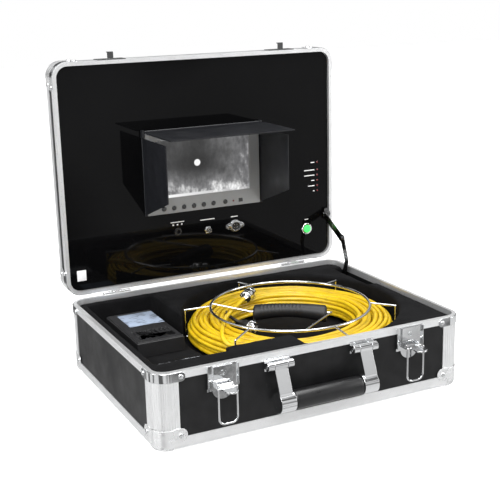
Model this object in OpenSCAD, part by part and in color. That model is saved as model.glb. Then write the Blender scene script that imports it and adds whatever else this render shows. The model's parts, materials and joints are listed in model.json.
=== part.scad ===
// Pipe inspection camera in an aluminium-framed flight case: a hinged lid with a
// 7 inch monitor and its sockets, and a wire reel of push cable with a camera head.
// Origin: centre of the case's underside. X right, Y back, Z up. Millimetres.

/* [Case] */
// Width of the case over its aluminium edges
case_w = 450; // [380:1:560]
// Depth of the case, front to back
case_d = 338; // [325:1:420]
// Height of the base, up to its rim
base_h = 102; // [98:1:140]
// Height of the lid, up to its rim
lid_h = 40; // [38:1:70]
// Radius of the case's upright corners
corner_r = 22; // [16:1:26]
// Rounding along the case's long outer edges.
edge_r = 8; // [4:0.5:10]
// Thickness of the laminated board
board_t = 4; // [3:0.5:6]
// Thickness of the aluminium edge profiles
alloy_t = 1.2; // [0.8:0.1:2]
// Height of the rim profile
rim_h = 10; // [8:0.5:14]
// Width of the rim profile, seen from above
rim_w = 5.5; // [5.2:0.1:8]
// Height of the edge rails
rail_h = 17; // [12:0.5:20]
// Gap between the two rims when the lid is shut
rim_gap = 0.6; // [0.4:0.1:1.5]
// Angle that the lid is open at rest
lid_open = 90; // [80:1:110]
// Distance of the hinge line behind the back wall
hinge_back = 3.4; // [3.2:0.1:6]

/* [Latches and handle] */
// Distance of each latch from the middle
latch_x = 137; // [110:1:160]
// Width of a latch plate
latch_w = 42; // [34:1:50]
// Width between the legs of a bail
bail_w = 25; // [22:0.5:30]
// Length of a bail from its pivot
bail_len = 46; // [42:0.5:47]
// Distance of each handle bracket from the middle
handle_x = 62; // [50:1:80]
// Diameter of the handle grip
handle_grip_d = 25; // [18:0.5:28]
// Drop from the handle's pivot to the middle of its grip
handle_drop = 46; // [38:1:50]
// Furthest swing of the handle
handle_reach = 9; // [6:0.5:12]

/* [Lid panel] */
// Depth of the panel's face below the lid's rim
panel_recess = 5; // [4.5:0.5:8]
// Thickness of the acrylic panel
panel_t = 3; // [2:0.5:5]
// Width of the monitor
monitor_w = 188; // [170:1:210]
// Height of the monitor
monitor_h = 124; // [114:1:130]
// Height of the monitor's lower edge up the lid
monitor_v = 105; // [96:1:120]
// Depth of the monitor's housing behind the panel
monitor_t = 20; // [12:1:22]
// Width of the picture
picture_w = 154; // [120:1:156]
// Height of the picture
picture_h = 87; // [70:1:88]
// Depth of the hood's top flap
hood_top_l = 110; // [80:1:112]
// Depth of the hood's side flaps
hood_side_l = 92; // [70:1:94]
// Diameter of the keys on the monitor
key_d = 7; // [5:0.5:8]
// Spacing of the keys
key_pitch = 16.3; // [14:0.1:17]

/* [Reel] */
// Distance of the reel's middle from the middle of the case
reel_x = 50; // [44:1:56]
// Outer radius of the cable coil
coil_r = 147.5; // [120:0.5:148]
// Inner radius of the cable coil
coil_in = 90; // [76:1:96]
// Height of the cable coil
coil_h = 30; // [20:1:32]
// Radius of the reel's upper ring
ring_r = 114; // [100:1:120]
// Diameter of the reel's wire
wire_d = 4; // [3:0.5:5]
// Diameter of the foam grip on the reel
grip_d = 24; // [16:1:26]
// Length of the foam grip on the reel
grip_l = 106; // [80:1:120]
// Diameter of the push cable
cable_d = 6; // [4:0.5:6.5]
// Diameter of the camera head
head_d = 18; // [14:0.5:19]
// Length of the camera head
head_l = 32; // [24:1:38]

/* [Tray] */
// Height of the foam's top face
foam_top = 96; // [92:1:98]
// Height of the floor under the reel
reel_floor = 50; // [46:1:56]
// Height of the floor of the side tray
tray_floor = 62; // [56:1:68]
// Width of the mains adapter
adapter_w = 68; // [50:1:80]
// Length of the mains adapter
adapter_l = 130; // [100:1:150]
// Height of the mains adapter
adapter_h = 22; // [16:1:28]

/* [Hidden] */
$fn = 48;

eps = 0.01;
fit = 0.06;      // radial clearance of a pin in its bore
run_gap = 0.4;   // clearance between pieces that move past each other
alloy = "silver";
chrome = "gainsboro";
black = [0.07, 0.07, 0.08];
foam = [0.12, 0.12, 0.12];
yellow = [0.95, 0.78, 0.05];

// ---- shared sizes ----
proud = 1;                          // corner hardware stands this far off the faces
reach = 31;                         // the corner hardware covers this much of each face
skin = alloy_t;
shell_in = skin + board_t;          // inner face of the board, from the outside
hinge_y = case_d / 2 + hinge_back;
hinge_z = base_h + rim_gap / 2;
lobe_r = 9;
foot_w = rail_h * 0.7;                  // the bottom rail's foot under the case

// ---- outlines ----
module outline(inset) {
    w = case_w - 2 * inset;
    d = case_d - 2 * inset;
    r = corner_r - inset;
    square([w - 2 * r, d], center = true);
    square([w, d - 2 * r], center = true);
    for (x = [-1, 1], y = [-1, 1])
        translate([x * (w / 2 - r), y * (d / 2 - r)])
            circle(r, $fn = 64);
}

module band(outer, inner, z0, z1) {
    translate([0, 0, z0])
        linear_extrude(z1 - z0)
            difference() {
                outline(outer);
                outline(inner);
            }
}

// children are drawn in the +X +Y corner, at the centre of its radius, and mirrored
module corners() {
    for (x = [0, 1], y = [0, 1])
        mirror([x, 0, 0])
            mirror([0, y, 0])
                translate([case_w / 2 - corner_r, case_d / 2 - corner_r, 0])
                    children();
}

// the two flat faces beside a corner; children stand on the face at y = corner_r
module both_faces() {
    children();
    mirror([1, -1, 0])
        children();
}

// ---- one half of the case, underside at z = 0, rim at z = h ----
// section of a bottom edge, from the line corner_r inside the face outwards, grown by o
function edge_section(o) = concat(
    [[0, max(0, -o)]],
    [for (a = [-90 : 9 : 0])
        [corner_r - edge_r + (edge_r + o) * cos(a), max(0, edge_r + (edge_r + o) * sin(a))]],
    [[corner_r + o, corner_r], [0, corner_r]]
);

// children are a section; it runs along the four straight bottom edges
module along_edges() {
    for (s = [0, 1]) {
        mirror([0, s, 0])
            translate([corner_r - case_w / 2, case_d / 2 - corner_r, 0])
                rotate([90, 0, 90])
                    linear_extrude(case_w - 2 * corner_r)
                        children();
        mirror([s, 0, 0])
            translate([case_w / 2 - corner_r, case_d / 2 - corner_r, 0])
                rotate([90, 0, 0])
                    linear_extrude(case_d - 2 * corner_r)
                        children();
    }
}

module half_shell(h) {
    w = case_w - 2 * corner_r;
    d = case_d - 2 * corner_r;
    difference() {
        union() {
            translate([0, 0, corner_r])
                linear_extrude(h - rim_h - corner_r)
                    outline(skin);
            translate([-w / 2, -d / 2, 0])
                cube([w, d, corner_r]);
            corners()
                rotate_extrude(angle = 90, $fn = 64)
                    polygon(edge_section(-skin));
            along_edges()
                polygon(edge_section(-skin));
            // underside between the rails
            along_edges()
                square([corner_r - foot_w, skin]);
        }
        translate([0, 0, board_t])
            linear_extrude(h)
                outline(shell_in);
    }
}

module half_rim(h) {
    difference() {
        band(0, rim_w, h - rim_h, h);
        band(-1, 0.5, h - 3.4, h - 2.6);
    }
}

module half_rails() {
    along_edges()
        difference() {
            polygon(edge_section(0));
            polygon(edge_section(-skin));
            translate([-1, -1])
                square([corner_r - foot_w + 1, rail_h]);
            translate([-1, rail_h])
                square([2 * corner_r, corner_r]);
        }
}

// upright corner profile with fine flutes
module half_posts(h) {
    flat = reach - corner_r;
    corners()
        translate([0, 0, corner_r])
            linear_extrude(h - rim_h - corner_r)
                difference() {
                    union() {
                        intersection() {
                            difference() {
                                circle(corner_r, $fn = 64);
                                circle(corner_r - skin, $fn = 64);
                            }
                            square(corner_r);
                        }
                        both_faces()
                            translate([-flat, corner_r - skin])
                                square([flat, skin]);
                    }
                    for (a = [4.5 : 9 : 90])
                        rotate(a)
                            translate([corner_r + 0.15, 0])
                                circle(0.6, $fn = 16);
                    both_faces()
                        for (x = [2.2 : 3 : flat - 1])
                            translate([-x, corner_r + 0.15])
                                circle(0.6, $fn = 16);
                }
}

// rivet height of the side lobes, kept below the rim clip
function lobe_z(h) = min(corner_r - 2, h - 13.4 - lobe_r);

// ball corner with a riveted lobe on each face
module half_balls(h) {
    band_h = min(6, h - 13.5 - corner_r);
    corners() {
        rotate_extrude(angle = 90, $fn = 64)
            difference() {
                polygon(edge_section(proud));
                polygon(edge_section(-skin));
            }
        translate([0, 0, corner_r])
            rotate_extrude(angle = 90, $fn = 64)
                translate([corner_r, 0])
                    square([proud, band_h]);
        both_faces() {
            translate([-(reach - corner_r), corner_r, lobe_z(h)])
                rotate([-90, 0, 0])
                    cylinder(h = proud, r = lobe_r);
            translate([-(reach - corner_r), corner_r, lobe_z(h) - lobe_r])
                cube([reach - corner_r, proud, 2 * lobe_r]);
        }
    }
}

module half_clips(h) {
    corners() {
        translate([0, 0, h - 13])
            rotate_extrude(angle = 90, $fn = 64)
                translate([corner_r, 0])
                    square([proud, 12]);
        both_faces() {
            translate([-12, corner_r, h - 13])
                cube([12, proud, 12]);
            translate([-12, corner_r, h - 7])
                rotate([-90, 0, 0])
                    cylinder(h = proud, r = 6);
        }
    }
}

module dome(r, h) {
    cylinder(h = h, r1 = r, r2 = r * 0.6, $fn = 24);
}

module half_rivets(h) {
    corners()
        both_faces() {
            translate([-(reach - corner_r), corner_r + proud, lobe_z(h)])
                rotate([-90, 0, 0])
                    dome(2.6, 1.1);
            translate([-12, corner_r + proud, h - 7])
                rotate([-90, 0, 0])
                    dome(2.4, 1.1);
        }
}

// ---- places ----
// the lid's own frame: Y runs up the lid from the hinge, Z out of its open face
module in_lid(angle = lid_open) {
    translate([0, hinge_y, hinge_z])
        rotate([180 - angle, 0, 0])
            children();
}

// the lid as a case half, turned so that its rim faces out of the lid
module as_lid() {
    in_lid()
        translate([0, hinge_back + case_d / 2, -rim_gap / 2 - lid_h])
            children();
}

// a point on the panel's face: v up from the lid's hinged edge, z out of the face
panel_z = -rim_gap / 2 - panel_recess;
module on_panel(x, v, z = 0) {
    in_lid()
        translate([x, hinge_back + v, panel_z + z])
            children();
}

// the base's front face, outward normal along -Z of the children's frame turned to +Z
module on_front(x, z) {
    translate([x, -case_d / 2, z])
        rotate([90, 0, 0])
            children();
}

// ---- base ----
module base_shell() {
    color(black)
        half_shell(base_h);
}

module base_rim_frame() {
    color(alloy)
        half_rim(base_h);
}

module base_bottom_rails() {
    color(alloy)
        half_rails();
}

module base_corner_posts() {
    color(alloy)
        half_posts(base_h);
}

module base_corner_caps() {
    color(chrome) {
        half_balls(base_h);
        half_clips(base_h);
    }
}

module base_rivets() {
    color(chrome)
        half_rivets(base_h);
}

// ---- foam insert ----
foam_gap = 0.3;
reel_hole_r = max(coil_r, ring_r) + 8;
ledge_y = -104;                     // front ledge, over the front of the coil
ledge_x = -6;
ledge_t = 7;
tray_x0 = -case_w / 2 + shell_in + 16;
tray_x1 = reel_x - reel_hole_r + 4;
stay_wall = case_w / 2 - rim_w;     // inner face of the rim, beside the stay
stay_slot_w = 15;

module foam_insert() {
    color(foam)
        difference() {
            translate([0, 0, board_t])
                linear_extrude(foam_top - board_t)
                    outline(max(shell_in, rim_w) + foam_gap);
            translate([reel_x, 0, reel_floor])
                cylinder(h = foam_top - ledge_t - reel_floor, r = reel_hole_r, $fn = 96);
            difference() {
                translate([reel_x, 0, foam_top - ledge_t - eps])
                    cylinder(h = 20, r = reel_hole_r, $fn = 96);
                translate([-case_w, -case_d, 0])
                    cube([case_w + ledge_x, case_d + ledge_y, base_h]);
            }
            translate([tray_x0, ledge_y - 14, tray_floor])
                cube([tray_x1 - tray_x0, case_d / 2 - 16 - ledge_y + 14, 60]);
            // behind the ledge the well is open to the tray
            translate([tray_x1 - 1, ledge_y, reel_floor])
                cube([reel_x - tray_x1, -ledge_y, 60]);
            translate([stay_wall - stay_slot_w, stay_base_y - 86, stay_base_z - 28])
                cube([stay_slot_w + 5, 100, 80]);
        }
}

// ---- hinges ----
hinge_x = 150;
knuckle_r = 2.8;
hinge_pin_r = 1.4;
knuckle_l = 14;
leaf_t = 1.2;

module knuckle(x0, l) {
    translate([x0, 0, 0])
        rotate([0, 90, 0])
            difference() {
                cylinder(h = l, r = knuckle_r, $fn = 32);
                translate([0, 0, -1])
                    cylinder(h = l + 2, r = hinge_pin_r + fit, $fn = 32);
            }
}

module base_hinge_leaves() {
    color(chrome)
        for (s = [-1, 1], k = [-1, 1])
            translate([s * hinge_x, 0, 0]) {
                x0 = k < 0 ? -1.5 * knuckle_l : 0.5 * knuckle_l;
                translate([0, hinge_y, hinge_z])
                    knuckle(x0, knuckle_l);
                difference() {
                    translate([x0, case_d / 2, hinge_z - 7])
                        cube([knuckle_l, hinge_back, 7]);
                    translate([x0 - 1, hinge_y, hinge_z])
                        rotate([0, 90, 0])
                            cylinder(h = knuckle_l + 2, r = knuckle_r, $fn = 32);
                }
                translate([k < 0 ? x0 : 0, case_d / 2, base_h - 30])
                    cube([1.5 * knuckle_l, leaf_t, 30 - 7 + hinge_z - base_h]);
            }
}

module lid_hinge_leaves() {
    l = knuckle_l - 2 * run_gap;
    color(chrome)
        in_lid()
            for (s = [-1, 1])
                translate([s * hinge_x, 0, 0]) {
                    knuckle(-l / 2, l);
                    difference() {
                        translate([-l / 2, 0, -7])
                            cube([l, hinge_back, 7]);
                        translate([-l / 2 - 1, 0, 0])
                            rotate([0, 90, 0])
                                cylinder(h = l + 2, r = knuckle_r, $fn = 32);
                    }
                    translate([-1.5 * knuckle_l, hinge_back - leaf_t, -28])
                        cube([3 * knuckle_l, leaf_t, 21]);
                }
}

// ---- latches ----
latch_top = base_h - 1.5;
latch_bottom = 56;
lever_z = 75;
lever_off = 6.4;                    // lever's pivot in front of the face
lever_arm = 9;                      // pivot to the bail's pivot
lever_pin_r = 1.6;
lever_w = 17;
bail_wire_r = 1.3;
plate_t = 1.2;

module latch_plates() {
    color(chrome)
        for (s = [-1, 1])
            on_front(s * latch_x, 0) {
                // base plate with a rounded foot and a raised lock housing
                difference() {
                    union() {
                        translate([-latch_w / 2, latch_bottom + 12, 0])
                            cube([latch_w, latch_top - latch_bottom - 12, plate_t]);
                        translate([0, latch_bottom + 14, 0])
                            cylinder(h = plate_t, r = 14);
                        translate([-13, latch_top - 20, plate_t])
                            cube([26, 19, 2.4]);
                    }
                    translate([0, latch_top - 10, -1])
                        cylinder(h = 8, r = 3.6 + fit, $fn = 32);
                }
                for (x = [-1, 1]) {
                    // side flange
                    translate([x * (latch_w / 2 - 0.6) - 0.6, latch_bottom + 16, plate_t])
                        cube([1.2, latch_top - latch_bottom - 17, 3]);
                    // pivot ear
                    translate([x * (lever_w / 2 + run_gap + 0.6) - 0.6, lever_z, 0])
                        difference() {
                            union() {
                                translate([0, -4, plate_t])
                                    cube([1.2, 8, lever_off - plate_t]);
                                translate([0, 0, lever_off])
                                    rotate([0, 90, 0])
                                        cylinder(h = 1.2, r = 4, $fn = 32);
                            }
                            translate([-1, 0, lever_off])
                                rotate([0, 90, 0])
                                    cylinder(h = 4, r = lever_pin_r, $fn = 32);
                        }
                }
                // key lock
                translate([0, latch_top - 10, 0])
                    difference() {
                        cylinder(h = 4.4, r = 3.6, $fn = 32);
                        translate([0, 0, 3])
                            cylinder(h = 3, r = 1.1, $fn = 24);
                        translate([-0.5, -2.6, 3])
                            cube([1, 2.6, 3]);
                    }
            }
}

module latch_lever(s) {
    color(chrome)
        on_front(s * latch_x, lever_z) {
            difference() {
                union() {
                    translate([-lever_w / 2, 0, lever_off])
                        rotate([0, 90, 0])
                            cylinder(h = lever_w, r = 3, $fn = 32);
                    translate([-lever_w / 2, 0, lever_off + lever_arm])
                        rotate([0, 90, 0])
                            cylinder(h = lever_w, r = 2.6, $fn = 32);
                    translate([-lever_w / 2, -1, lever_off])
                        cube([lever_w, 2, 20]);
                    translate([0, 1, lever_off + 20])
                        rotate([90, 0, 0])
                            cylinder(h = 2, r = lever_w / 2, $fn = 48);
                }
                translate([-lever_w, 0, lever_off])
                    rotate([0, 90, 0])
                        cylinder(h = 2 * lever_w, r = lever_pin_r + fit, $fn = 32);
                translate([-lever_w, 0, lever_off + lever_arm])
                    rotate([0, 90, 0])
                        cylinder(h = 2 * lever_w, r = 1.1 + fit, $fn = 32);
            }
        }
}

module latch_lever_left() {
    latch_lever(-1);
}

module latch_lever_right() {
    latch_lever(1);
}

module bail(s) {
    bend = 8;
    half = bail_w / 2;
    color(chrome)
        on_front(s * latch_x, lever_z)
            translate([0, 0, lever_off + lever_arm]) {
                for (x = [-1, 1]) {
                    translate([x * half, 0, 0])
                        rotate([90, 0, 0])
                            cylinder(h = bail_len - bend, r = bail_wire_r, $fn = 24);
                    translate([x * half, 0, 0])
                        sphere(bail_wire_r, $fn = 24);
                    translate([x > 0 ? half - 8 : -half, 0, 0])
                        rotate([0, 90, 0])
                            cylinder(h = 8, r = 1.1, $fn = 24);
                    translate([x * (half - bend), -(bail_len - bend), 0])
                        rotate([0, 0, x > 0 ? -90 : 180])
                            rotate_extrude(angle = 90, $fn = 48)
                                translate([bend, 0])
                                    circle(bail_wire_r, $fn = 24);
                }
                translate([-(half - bend), -bail_len, 0])
                    rotate([0, 90, 0])
                        cylinder(h = 2 * (half - bend), r = bail_wire_r, $fn = 24);
            }
}

module latch_bail_left() {
    bail(-1);
}

module latch_bail_right() {
    bail(1);
}

// hooks on the lid's front wall that the bails pull on
lever_shut = 84;
bail_shut_y = lever_off + lever_arm * cos(lever_shut);
bail_shut_z = lever_z - lever_arm * sin(lever_shut) + bail_len;

module latch_catches() {
    hook_v = bail_shut_z - base_h - rim_gap;      // above the lid's rim
    color(black)
        in_lid()
            for (s = [-1, 1])
                translate([s * latch_x, hinge_back + case_d, -rim_gap / 2])
                    rotate([-90, 0, 0]) {
                        // Y now runs up the lid's wall from its rim, Z out of the wall
                        translate([-latch_w / 2, 1, 0])
                            cube([latch_w, 19, plate_t]);
                        translate([-4.5, hook_v - bail_wire_r - 2, plate_t])
                            cube([9, 1.6, bail_shut_y + 3.8 - plate_t]);
                        translate([-4.5, hook_v - bail_wire_r - 2, bail_shut_y + 2.4])
                            cube([9, 5, 1.4]);
                    }
}

// ---- handle ----
handle_z = 87;
handle_off = 8.5;
barrel_r = 5.6;
barrel_pin_r = 2.2;
arm_w = 18;
bracket_w = 36;
grip_z = handle_z - handle_drop;
grip_off = handle_off + handle_reach;

module handle_brackets() {
    color(chrome)
        for (s = [-1, 1])
            on_front(s * handle_x, handle_z) {
                translate([-bracket_w / 2, -8, 0])
                    cube([bracket_w, 16, 1.6]);
                for (x = [-1, 1])
                    translate([x * (bracket_w + arm_w + 2 * run_gap) / 4, 0, 0]) {
                        l = (bracket_w - arm_w) / 2 - run_gap;
                        difference() {
                            union() {
                                translate([-l / 2, -4, 1.6])
                                    cube([l, 8, handle_off - 1.6]);
                                translate([-l / 2, 0, handle_off])
                                    rotate([0, 90, 0])
                                        cylinder(h = l, r = barrel_r);
                            }
                            translate([-l, 0, handle_off])
                                rotate([0, 90, 0])
                                    cylinder(h = 2 * l, r = barrel_pin_r, $fn = 32);
                        }
                    }
            }
}

module handle_arms() {
    hub = 13.2;
    color(chrome)
        for (s = [-1, 1])
            on_front(s * handle_x, 0)
                difference() {
                    union() {
                        translate([-arm_w / 2, handle_z, handle_off])
                            rotate([0, 90, 0])
                                cylinder(h = arm_w, r = barrel_r);
                        // the arm's strap curves out to the grip
                        hull() {
                            translate([-arm_w / 2, handle_z - 3, handle_off + 2])
                                rotate([0, 90, 0])
                                    cylinder(h = arm_w, r = 2, $fn = 24);
                            translate([-arm_w / 2, grip_z + 14, grip_off + 5])
                                rotate([0, 90, 0])
                                    cylinder(h = arm_w, r = 2, $fn = 24);
                        }
                        hull() {
                            translate([-arm_w / 2, grip_z + 14, grip_off + 5])
                                rotate([0, 90, 0])
                                    cylinder(h = arm_w, r = 2, $fn = 24);
                            translate([-arm_w / 2, grip_z + 4, grip_off + 4])
                                rotate([0, 90, 0])
                                    cylinder(h = arm_w, r = 4, $fn = 24);
                        }
                        translate([s > 0 ? -arm_w / 2 - 3 : -arm_w / 2, grip_z, grip_off])
                            rotate([0, 90, 0])
                                cylinder(h = arm_w + 3, r = hub, $fn = 64);
                    }
                    translate([-arm_w, handle_z, handle_off])
                        rotate([0, 90, 0])
                            cylinder(h = 2 * arm_w, r = barrel_pin_r + fit, $fn = 32);
                }
}

module handle_grip() {
    l = 2 * (handle_x - arm_w / 2 - 3);
    color(black)
        on_front(0, grip_z)
            translate([-l / 2, 0, grip_off])
                rotate([0, 90, 0])
                    cylinder(h = l, d = handle_grip_d, $fn = 64);
}

module pivot_pins() {
    color(chrome) {
        for (s = [-1, 1]) {
            // hinge
            translate([s * hinge_x - 1.5 * knuckle_l, hinge_y, hinge_z])
                rotate([0, 90, 0])
                    cylinder(h = 3 * knuckle_l, r = hinge_pin_r, $fn = 32);
            // latch lever
            on_front(s * latch_x, lever_z)
                translate([-lever_w / 2 - run_gap - 1.2, 0, lever_off])
                    rotate([0, 90, 0])
                        cylinder(h = lever_w + 2 * run_gap + 2.4, r = lever_pin_r, $fn = 32);
            // handle
            on_front(s * handle_x, handle_z)
                translate([-bracket_w / 2, 0, handle_off])
                    rotate([0, 90, 0])
                        cylinder(h = bracket_w, r = barrel_pin_r, $fn = 32);
        }
    }
}

// ---- lid stay: two links on the right that keep parallel to the lid ----
stay_t = 1.6;
stay_pin_r = 2;
stay_lid_v = 72;                    // lid pivot, up from the hinged edge
stay_lid_z = 0;
stay_dy = -54;                      // knee from the lid pivot
stay_dz = -29;
stay_layer = stay_wall - 9;         // left face of the lower link
lid_tilt = lid_open - 90;
stay_lid_y = hinge_y + (hinge_back + stay_lid_v) * sin(lid_tilt) - stay_lid_z * cos(lid_tilt);
stay_lid_h = hinge_z + (hinge_back + stay_lid_v) * cos(lid_tilt) + stay_lid_z * sin(lid_tilt);
stay_knee_y = stay_lid_y + stay_dy;
stay_knee_z = stay_lid_h + stay_dz;
stay_base_y = hinge_y + stay_dy;
stay_base_z = hinge_z + stay_dz;

// a flat disc of a stay link, at y, z
module link_disc(x, y, z, r) {
    translate([x, y, z])
        rotate([0, 90, 0])
            cylinder(h = stay_t, r = r, $fn = 32);
}

knee_bend_y = stay_base_y - 13;
knee_bend_z = stay_base_z + 40;

module stay_lower_link() {
    x = stay_layer;
    color(black)
        difference() {
            union() {
                hull() {
                    link_disc(x, stay_knee_y, stay_knee_z, 5.5);
                    link_disc(x, knee_bend_y, knee_bend_z, 4.5);
                }
                hull() {
                    link_disc(x, knee_bend_y, knee_bend_z, 4.5);
                    link_disc(x, stay_base_y, stay_base_z, 5.5);
                }
            }
            for (p = [[stay_knee_y, stay_knee_z], [stay_base_y, stay_base_z]])
                translate([x - 1, p[0], p[1]])
                    rotate([0, 90, 0])
                        cylinder(h = stay_t + 2, r = stay_pin_r + fit, $fn = 32);
        }
}

module stay_upper_link() {
    x = stay_layer - stay_t - run_gap;
    color(black) {
        difference() {
            hull() {
                link_disc(x, stay_knee_y, stay_knee_z, 5.5);
                link_disc(x, stay_lid_y, stay_lid_h, 5);
            }
            translate([x - 1, stay_lid_y, stay_lid_h])
                rotate([0, 90, 0])
                    cylinder(h = stay_t + 2, r = stay_pin_r + 0.5, $fn = 32);
        }
        // knee rivet, fixed in this link
        translate([x - 1.6, stay_knee_y, stay_knee_z])
            rotate([0, 90, 0])
                cylinder(h = 1.6, r = 4, $fn = 32);
        translate([x + stay_t, stay_knee_y, stay_knee_z])
            rotate([0, 90, 0])
                cylinder(h = stay_t + 2 * run_gap, r = stay_pin_r, $fn = 32);
        translate([x + 2 * stay_t + 2 * run_gap, stay_knee_y, stay_knee_z])
            rotate([0, 90, 0])
                cylinder(h = 1, r = 3.6, $fn = 32);
    }
}

module stay_base_bracket() {
    plate_x = stay_layer + stay_t + run_gap;
    color(black) {
        // plate on the case wall, pivot pin and its head
        translate([plate_x, stay_base_y - 11, stay_base_z - 12])
            cube([case_w / 2 - shell_in - plate_x, 22, 18]);
        translate([stay_layer - run_gap, stay_base_y, stay_base_z])
            rotate([0, 90, 0])
                cylinder(h = stay_t + 2 * run_gap, r = stay_pin_r, $fn = 32);
        translate([stay_layer - run_gap - 1.5, stay_base_y, stay_base_z])
            rotate([0, 90, 0])
                cylinder(h = 1.5, r = 4, $fn = 32);
    }
}

module stay_lid_bracket() {
    x = stay_layer;
    w = stay_wall - x;
    color(black)
        in_lid() {
            // foot on the panel, and the pivot boss
            translate([x, hinge_back + stay_lid_v - 9, panel_z])
                cube([w - 0.2, 18, -panel_z]);
            translate([x, hinge_back + stay_lid_v, stay_lid_z])
                rotate([0, 90, 0])
                    cylinder(h = w - 0.6, r = 4.5, $fn = 32);
            translate([x - run_gap - stay_t - run_gap, hinge_back + stay_lid_v, stay_lid_z])
                rotate([0, 90, 0])
                    cylinder(h = stay_t + 2 * run_gap, r = stay_pin_r, $fn = 32);
            translate([x - 2 * run_gap - stay_t - 1.2, hinge_back + stay_lid_v, stay_lid_z])
                rotate([0, 90, 0])
                    cylinder(h = 1.2, r = 3.6, $fn = 32);
        }
}

// ---- tray contents ----
adapter_x = -152;
adapter_y = 57;

module power_adapter() {
    slots = 9;
    color(black)
        translate([adapter_x - adapter_w / 2, adapter_y - adapter_l / 2, tray_floor])
            difference() {
                union() {
                    cube([adapter_w, adapter_l, adapter_h - 1.5]);
                    translate([1.5, 1.5, adapter_h - 1.5])
                        cube([adapter_w - 3, adapter_l - 3, 1.5]);
                }
                // cooling slots
                for (k = [0 : slots - 1], row = [0, 1])
                    translate([8 + k * (adapter_w - 19) / (slots - 1), 12 + row * 20, adapter_h - 2])
                        cube([3, 14, 3]);
            }
}

module accessory_pouch() {
    r = 6;
    color("dimgray")
        translate([-146, -76, tray_floor + r]) {
            translate([-30, -20, -r])
                cube([60, 40, 2 * r]);
            for (x = [-30, 30])
                translate([x, 20, 0])
                    rotate([90, 0, 0])
                        cylinder(h = 40, r = r, $fn = 32);
        }
}

// ---- reel ----
coil_z0 = reel_floor + 6;
coil_z1 = coil_z0 + coil_h;
ring_z = coil_z1 + 11;
rib_r = coil_r + 4;
rib_d = 3;
ribs = 6;
rib_a = 33;
grip_a = -33;
reel_grip_z = coil_z1;

module rod(p, q, d) {
    v = q - p;
    l = norm(v);
    translate(p)
        rotate([0, acos(v[2] / l), atan2(v[1], v[0])])
            cylinder(h = l, d = d, $fn = 16);
}

function around(r, a, z) = [r * cos(a), r * sin(a), z];
grip_from = around(-grip_l / 2, grip_a, reel_grip_z);
grip_to = around(grip_l / 2, grip_a, reel_grip_z);
arm_from = around(ring_r, grip_a + 180, ring_z);
arm_to = around(ring_r, -109, ring_z);

module reel_frame() {
    lug = around(6, grip_a, 0);
    z0 = reel_floor + wire_d / 2;
    color(chrome)
        translate([reel_x, 0, 0]) {
            for (z = [ring_z, z0])
                translate([0, 0, z])
                    rotate_extrude($fn = 96)
                        translate([ring_r, 0])
                            circle(d = wire_d, $fn = 16);
            for (k = [0 : ribs - 1]) {
                a = rib_a + k * 360 / ribs;
                rod(around(ring_r, a, ring_z), around(rib_r, a, ring_z - 5), rib_d);
                rod(around(rib_r, a, ring_z - 5), around(rib_r, a, z0), rib_d);
                rod(around(rib_r, a, z0), around(ring_r, a, z0), rib_d);
                for (z = [ring_z - 5, z0])
                    translate(around(rib_r, a, z))
                        sphere(d = rib_d + 0.4, $fn = 16);
            }
            // swing bail that carries the foam grip
            rod(arm_from, grip_from - lug, rib_d);
            translate(grip_from - lug)
                sphere(d = rib_d + 0.4, $fn = 16);
            rod(grip_from - lug, grip_from, rib_d);
            rod(grip_to, grip_to + lug, rib_d);
            translate(grip_to + lug)
                sphere(d = rib_d + 0.4, $fn = 16);
            rod(grip_to + lug, arm_to, rib_d);
        }
}

module reel_grip() {
    color(black)
        translate([reel_x, 0, 0])
            rod(grip_from, grip_to, grip_d);
}

module push_cable_coil() {
    color(yellow)
        translate([reel_x, 0, 0])
            rotate_extrude($fn = 120)
                polygon([
                    [coil_in, coil_z0], [coil_in, coil_z1 - 16], [coil_in + 12, coil_z1 - 9],
                    [coil_in + 22, coil_z1 - 5], [coil_r - 22, coil_z1 - 1], [coil_r - 8, coil_z1],
                    [coil_r, coil_z1 - 6], [coil_r, coil_z0 + 6], [coil_r - 6, coil_z0],
                ]);
}

// loose end of the cable, from the coil to the camera head; measured from the reel's middle
tail_route = [
    [-128, -66, -6], [-130.5, -56, -2.5], [-128, -44, 1], [-122, -31, 2.5], [-112, -12, 2.5],
    [-100, 9, 1.8], [-87, 28, 0.6], [-72, 46, -0.6], [-57, 60, 1.2], [-45, 70, 3.2], [-36, 78, 4],
];
head_dir = [24, 22, 1] / norm([24, 22, 1]);

function spline(a, b, c, d, t) = 0.5 * (2 * b + (c - a) * t
    + (2 * a - 5 * b + 4 * c - d) * t * t + (3 * b - a - 3 * c + d) * t * t * t);
function smooth(pts, n) = [
    for (i = [0 : len(pts) - 2], k = [0 : n - 1])
        spline(pts[max(i - 1, 0)], pts[i], pts[i + 1], pts[min(i + 2, len(pts) - 1)], k / n),
    pts[len(pts) - 1],
];
function unit(v) = v / norm(v);

module tube(pts, d, sides) {
    n = len(pts);
    rings = [for (i = [0 : n - 1])
        let (
            t = unit(pts[min(i + 1, n - 1)] - pts[max(i - 1, 0)]),
            u = unit(cross([0, 0, 1], t)),
            w = cross(t, u)
        )
        for (k = [0 : sides - 1])
            pts[i] + d / 2 * (cos(k * 360 / sides) * u + sin(k * 360 / sides) * w)
    ];
    polyhedron(
        points = rings,
        faces = [
            [for (k = [0 : sides - 1]) k],
            [for (k = [sides - 1 : -1 : 0]) (n - 1) * sides + k],
            for (i = [0 : n - 2], k = [0 : sides - 1])
                [i * sides + k, (i + 1) * sides + k, (i + 1) * sides + (k + 1) % sides,
                 i * sides + (k + 1) % sides],
        ],
        convexity = 8
    );
}

module push_cable_tail() {
    color(yellow)
        translate([reel_x, 0, coil_z1])
            tube(smooth(tail_route, 2), cable_d, 10);
}

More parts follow.
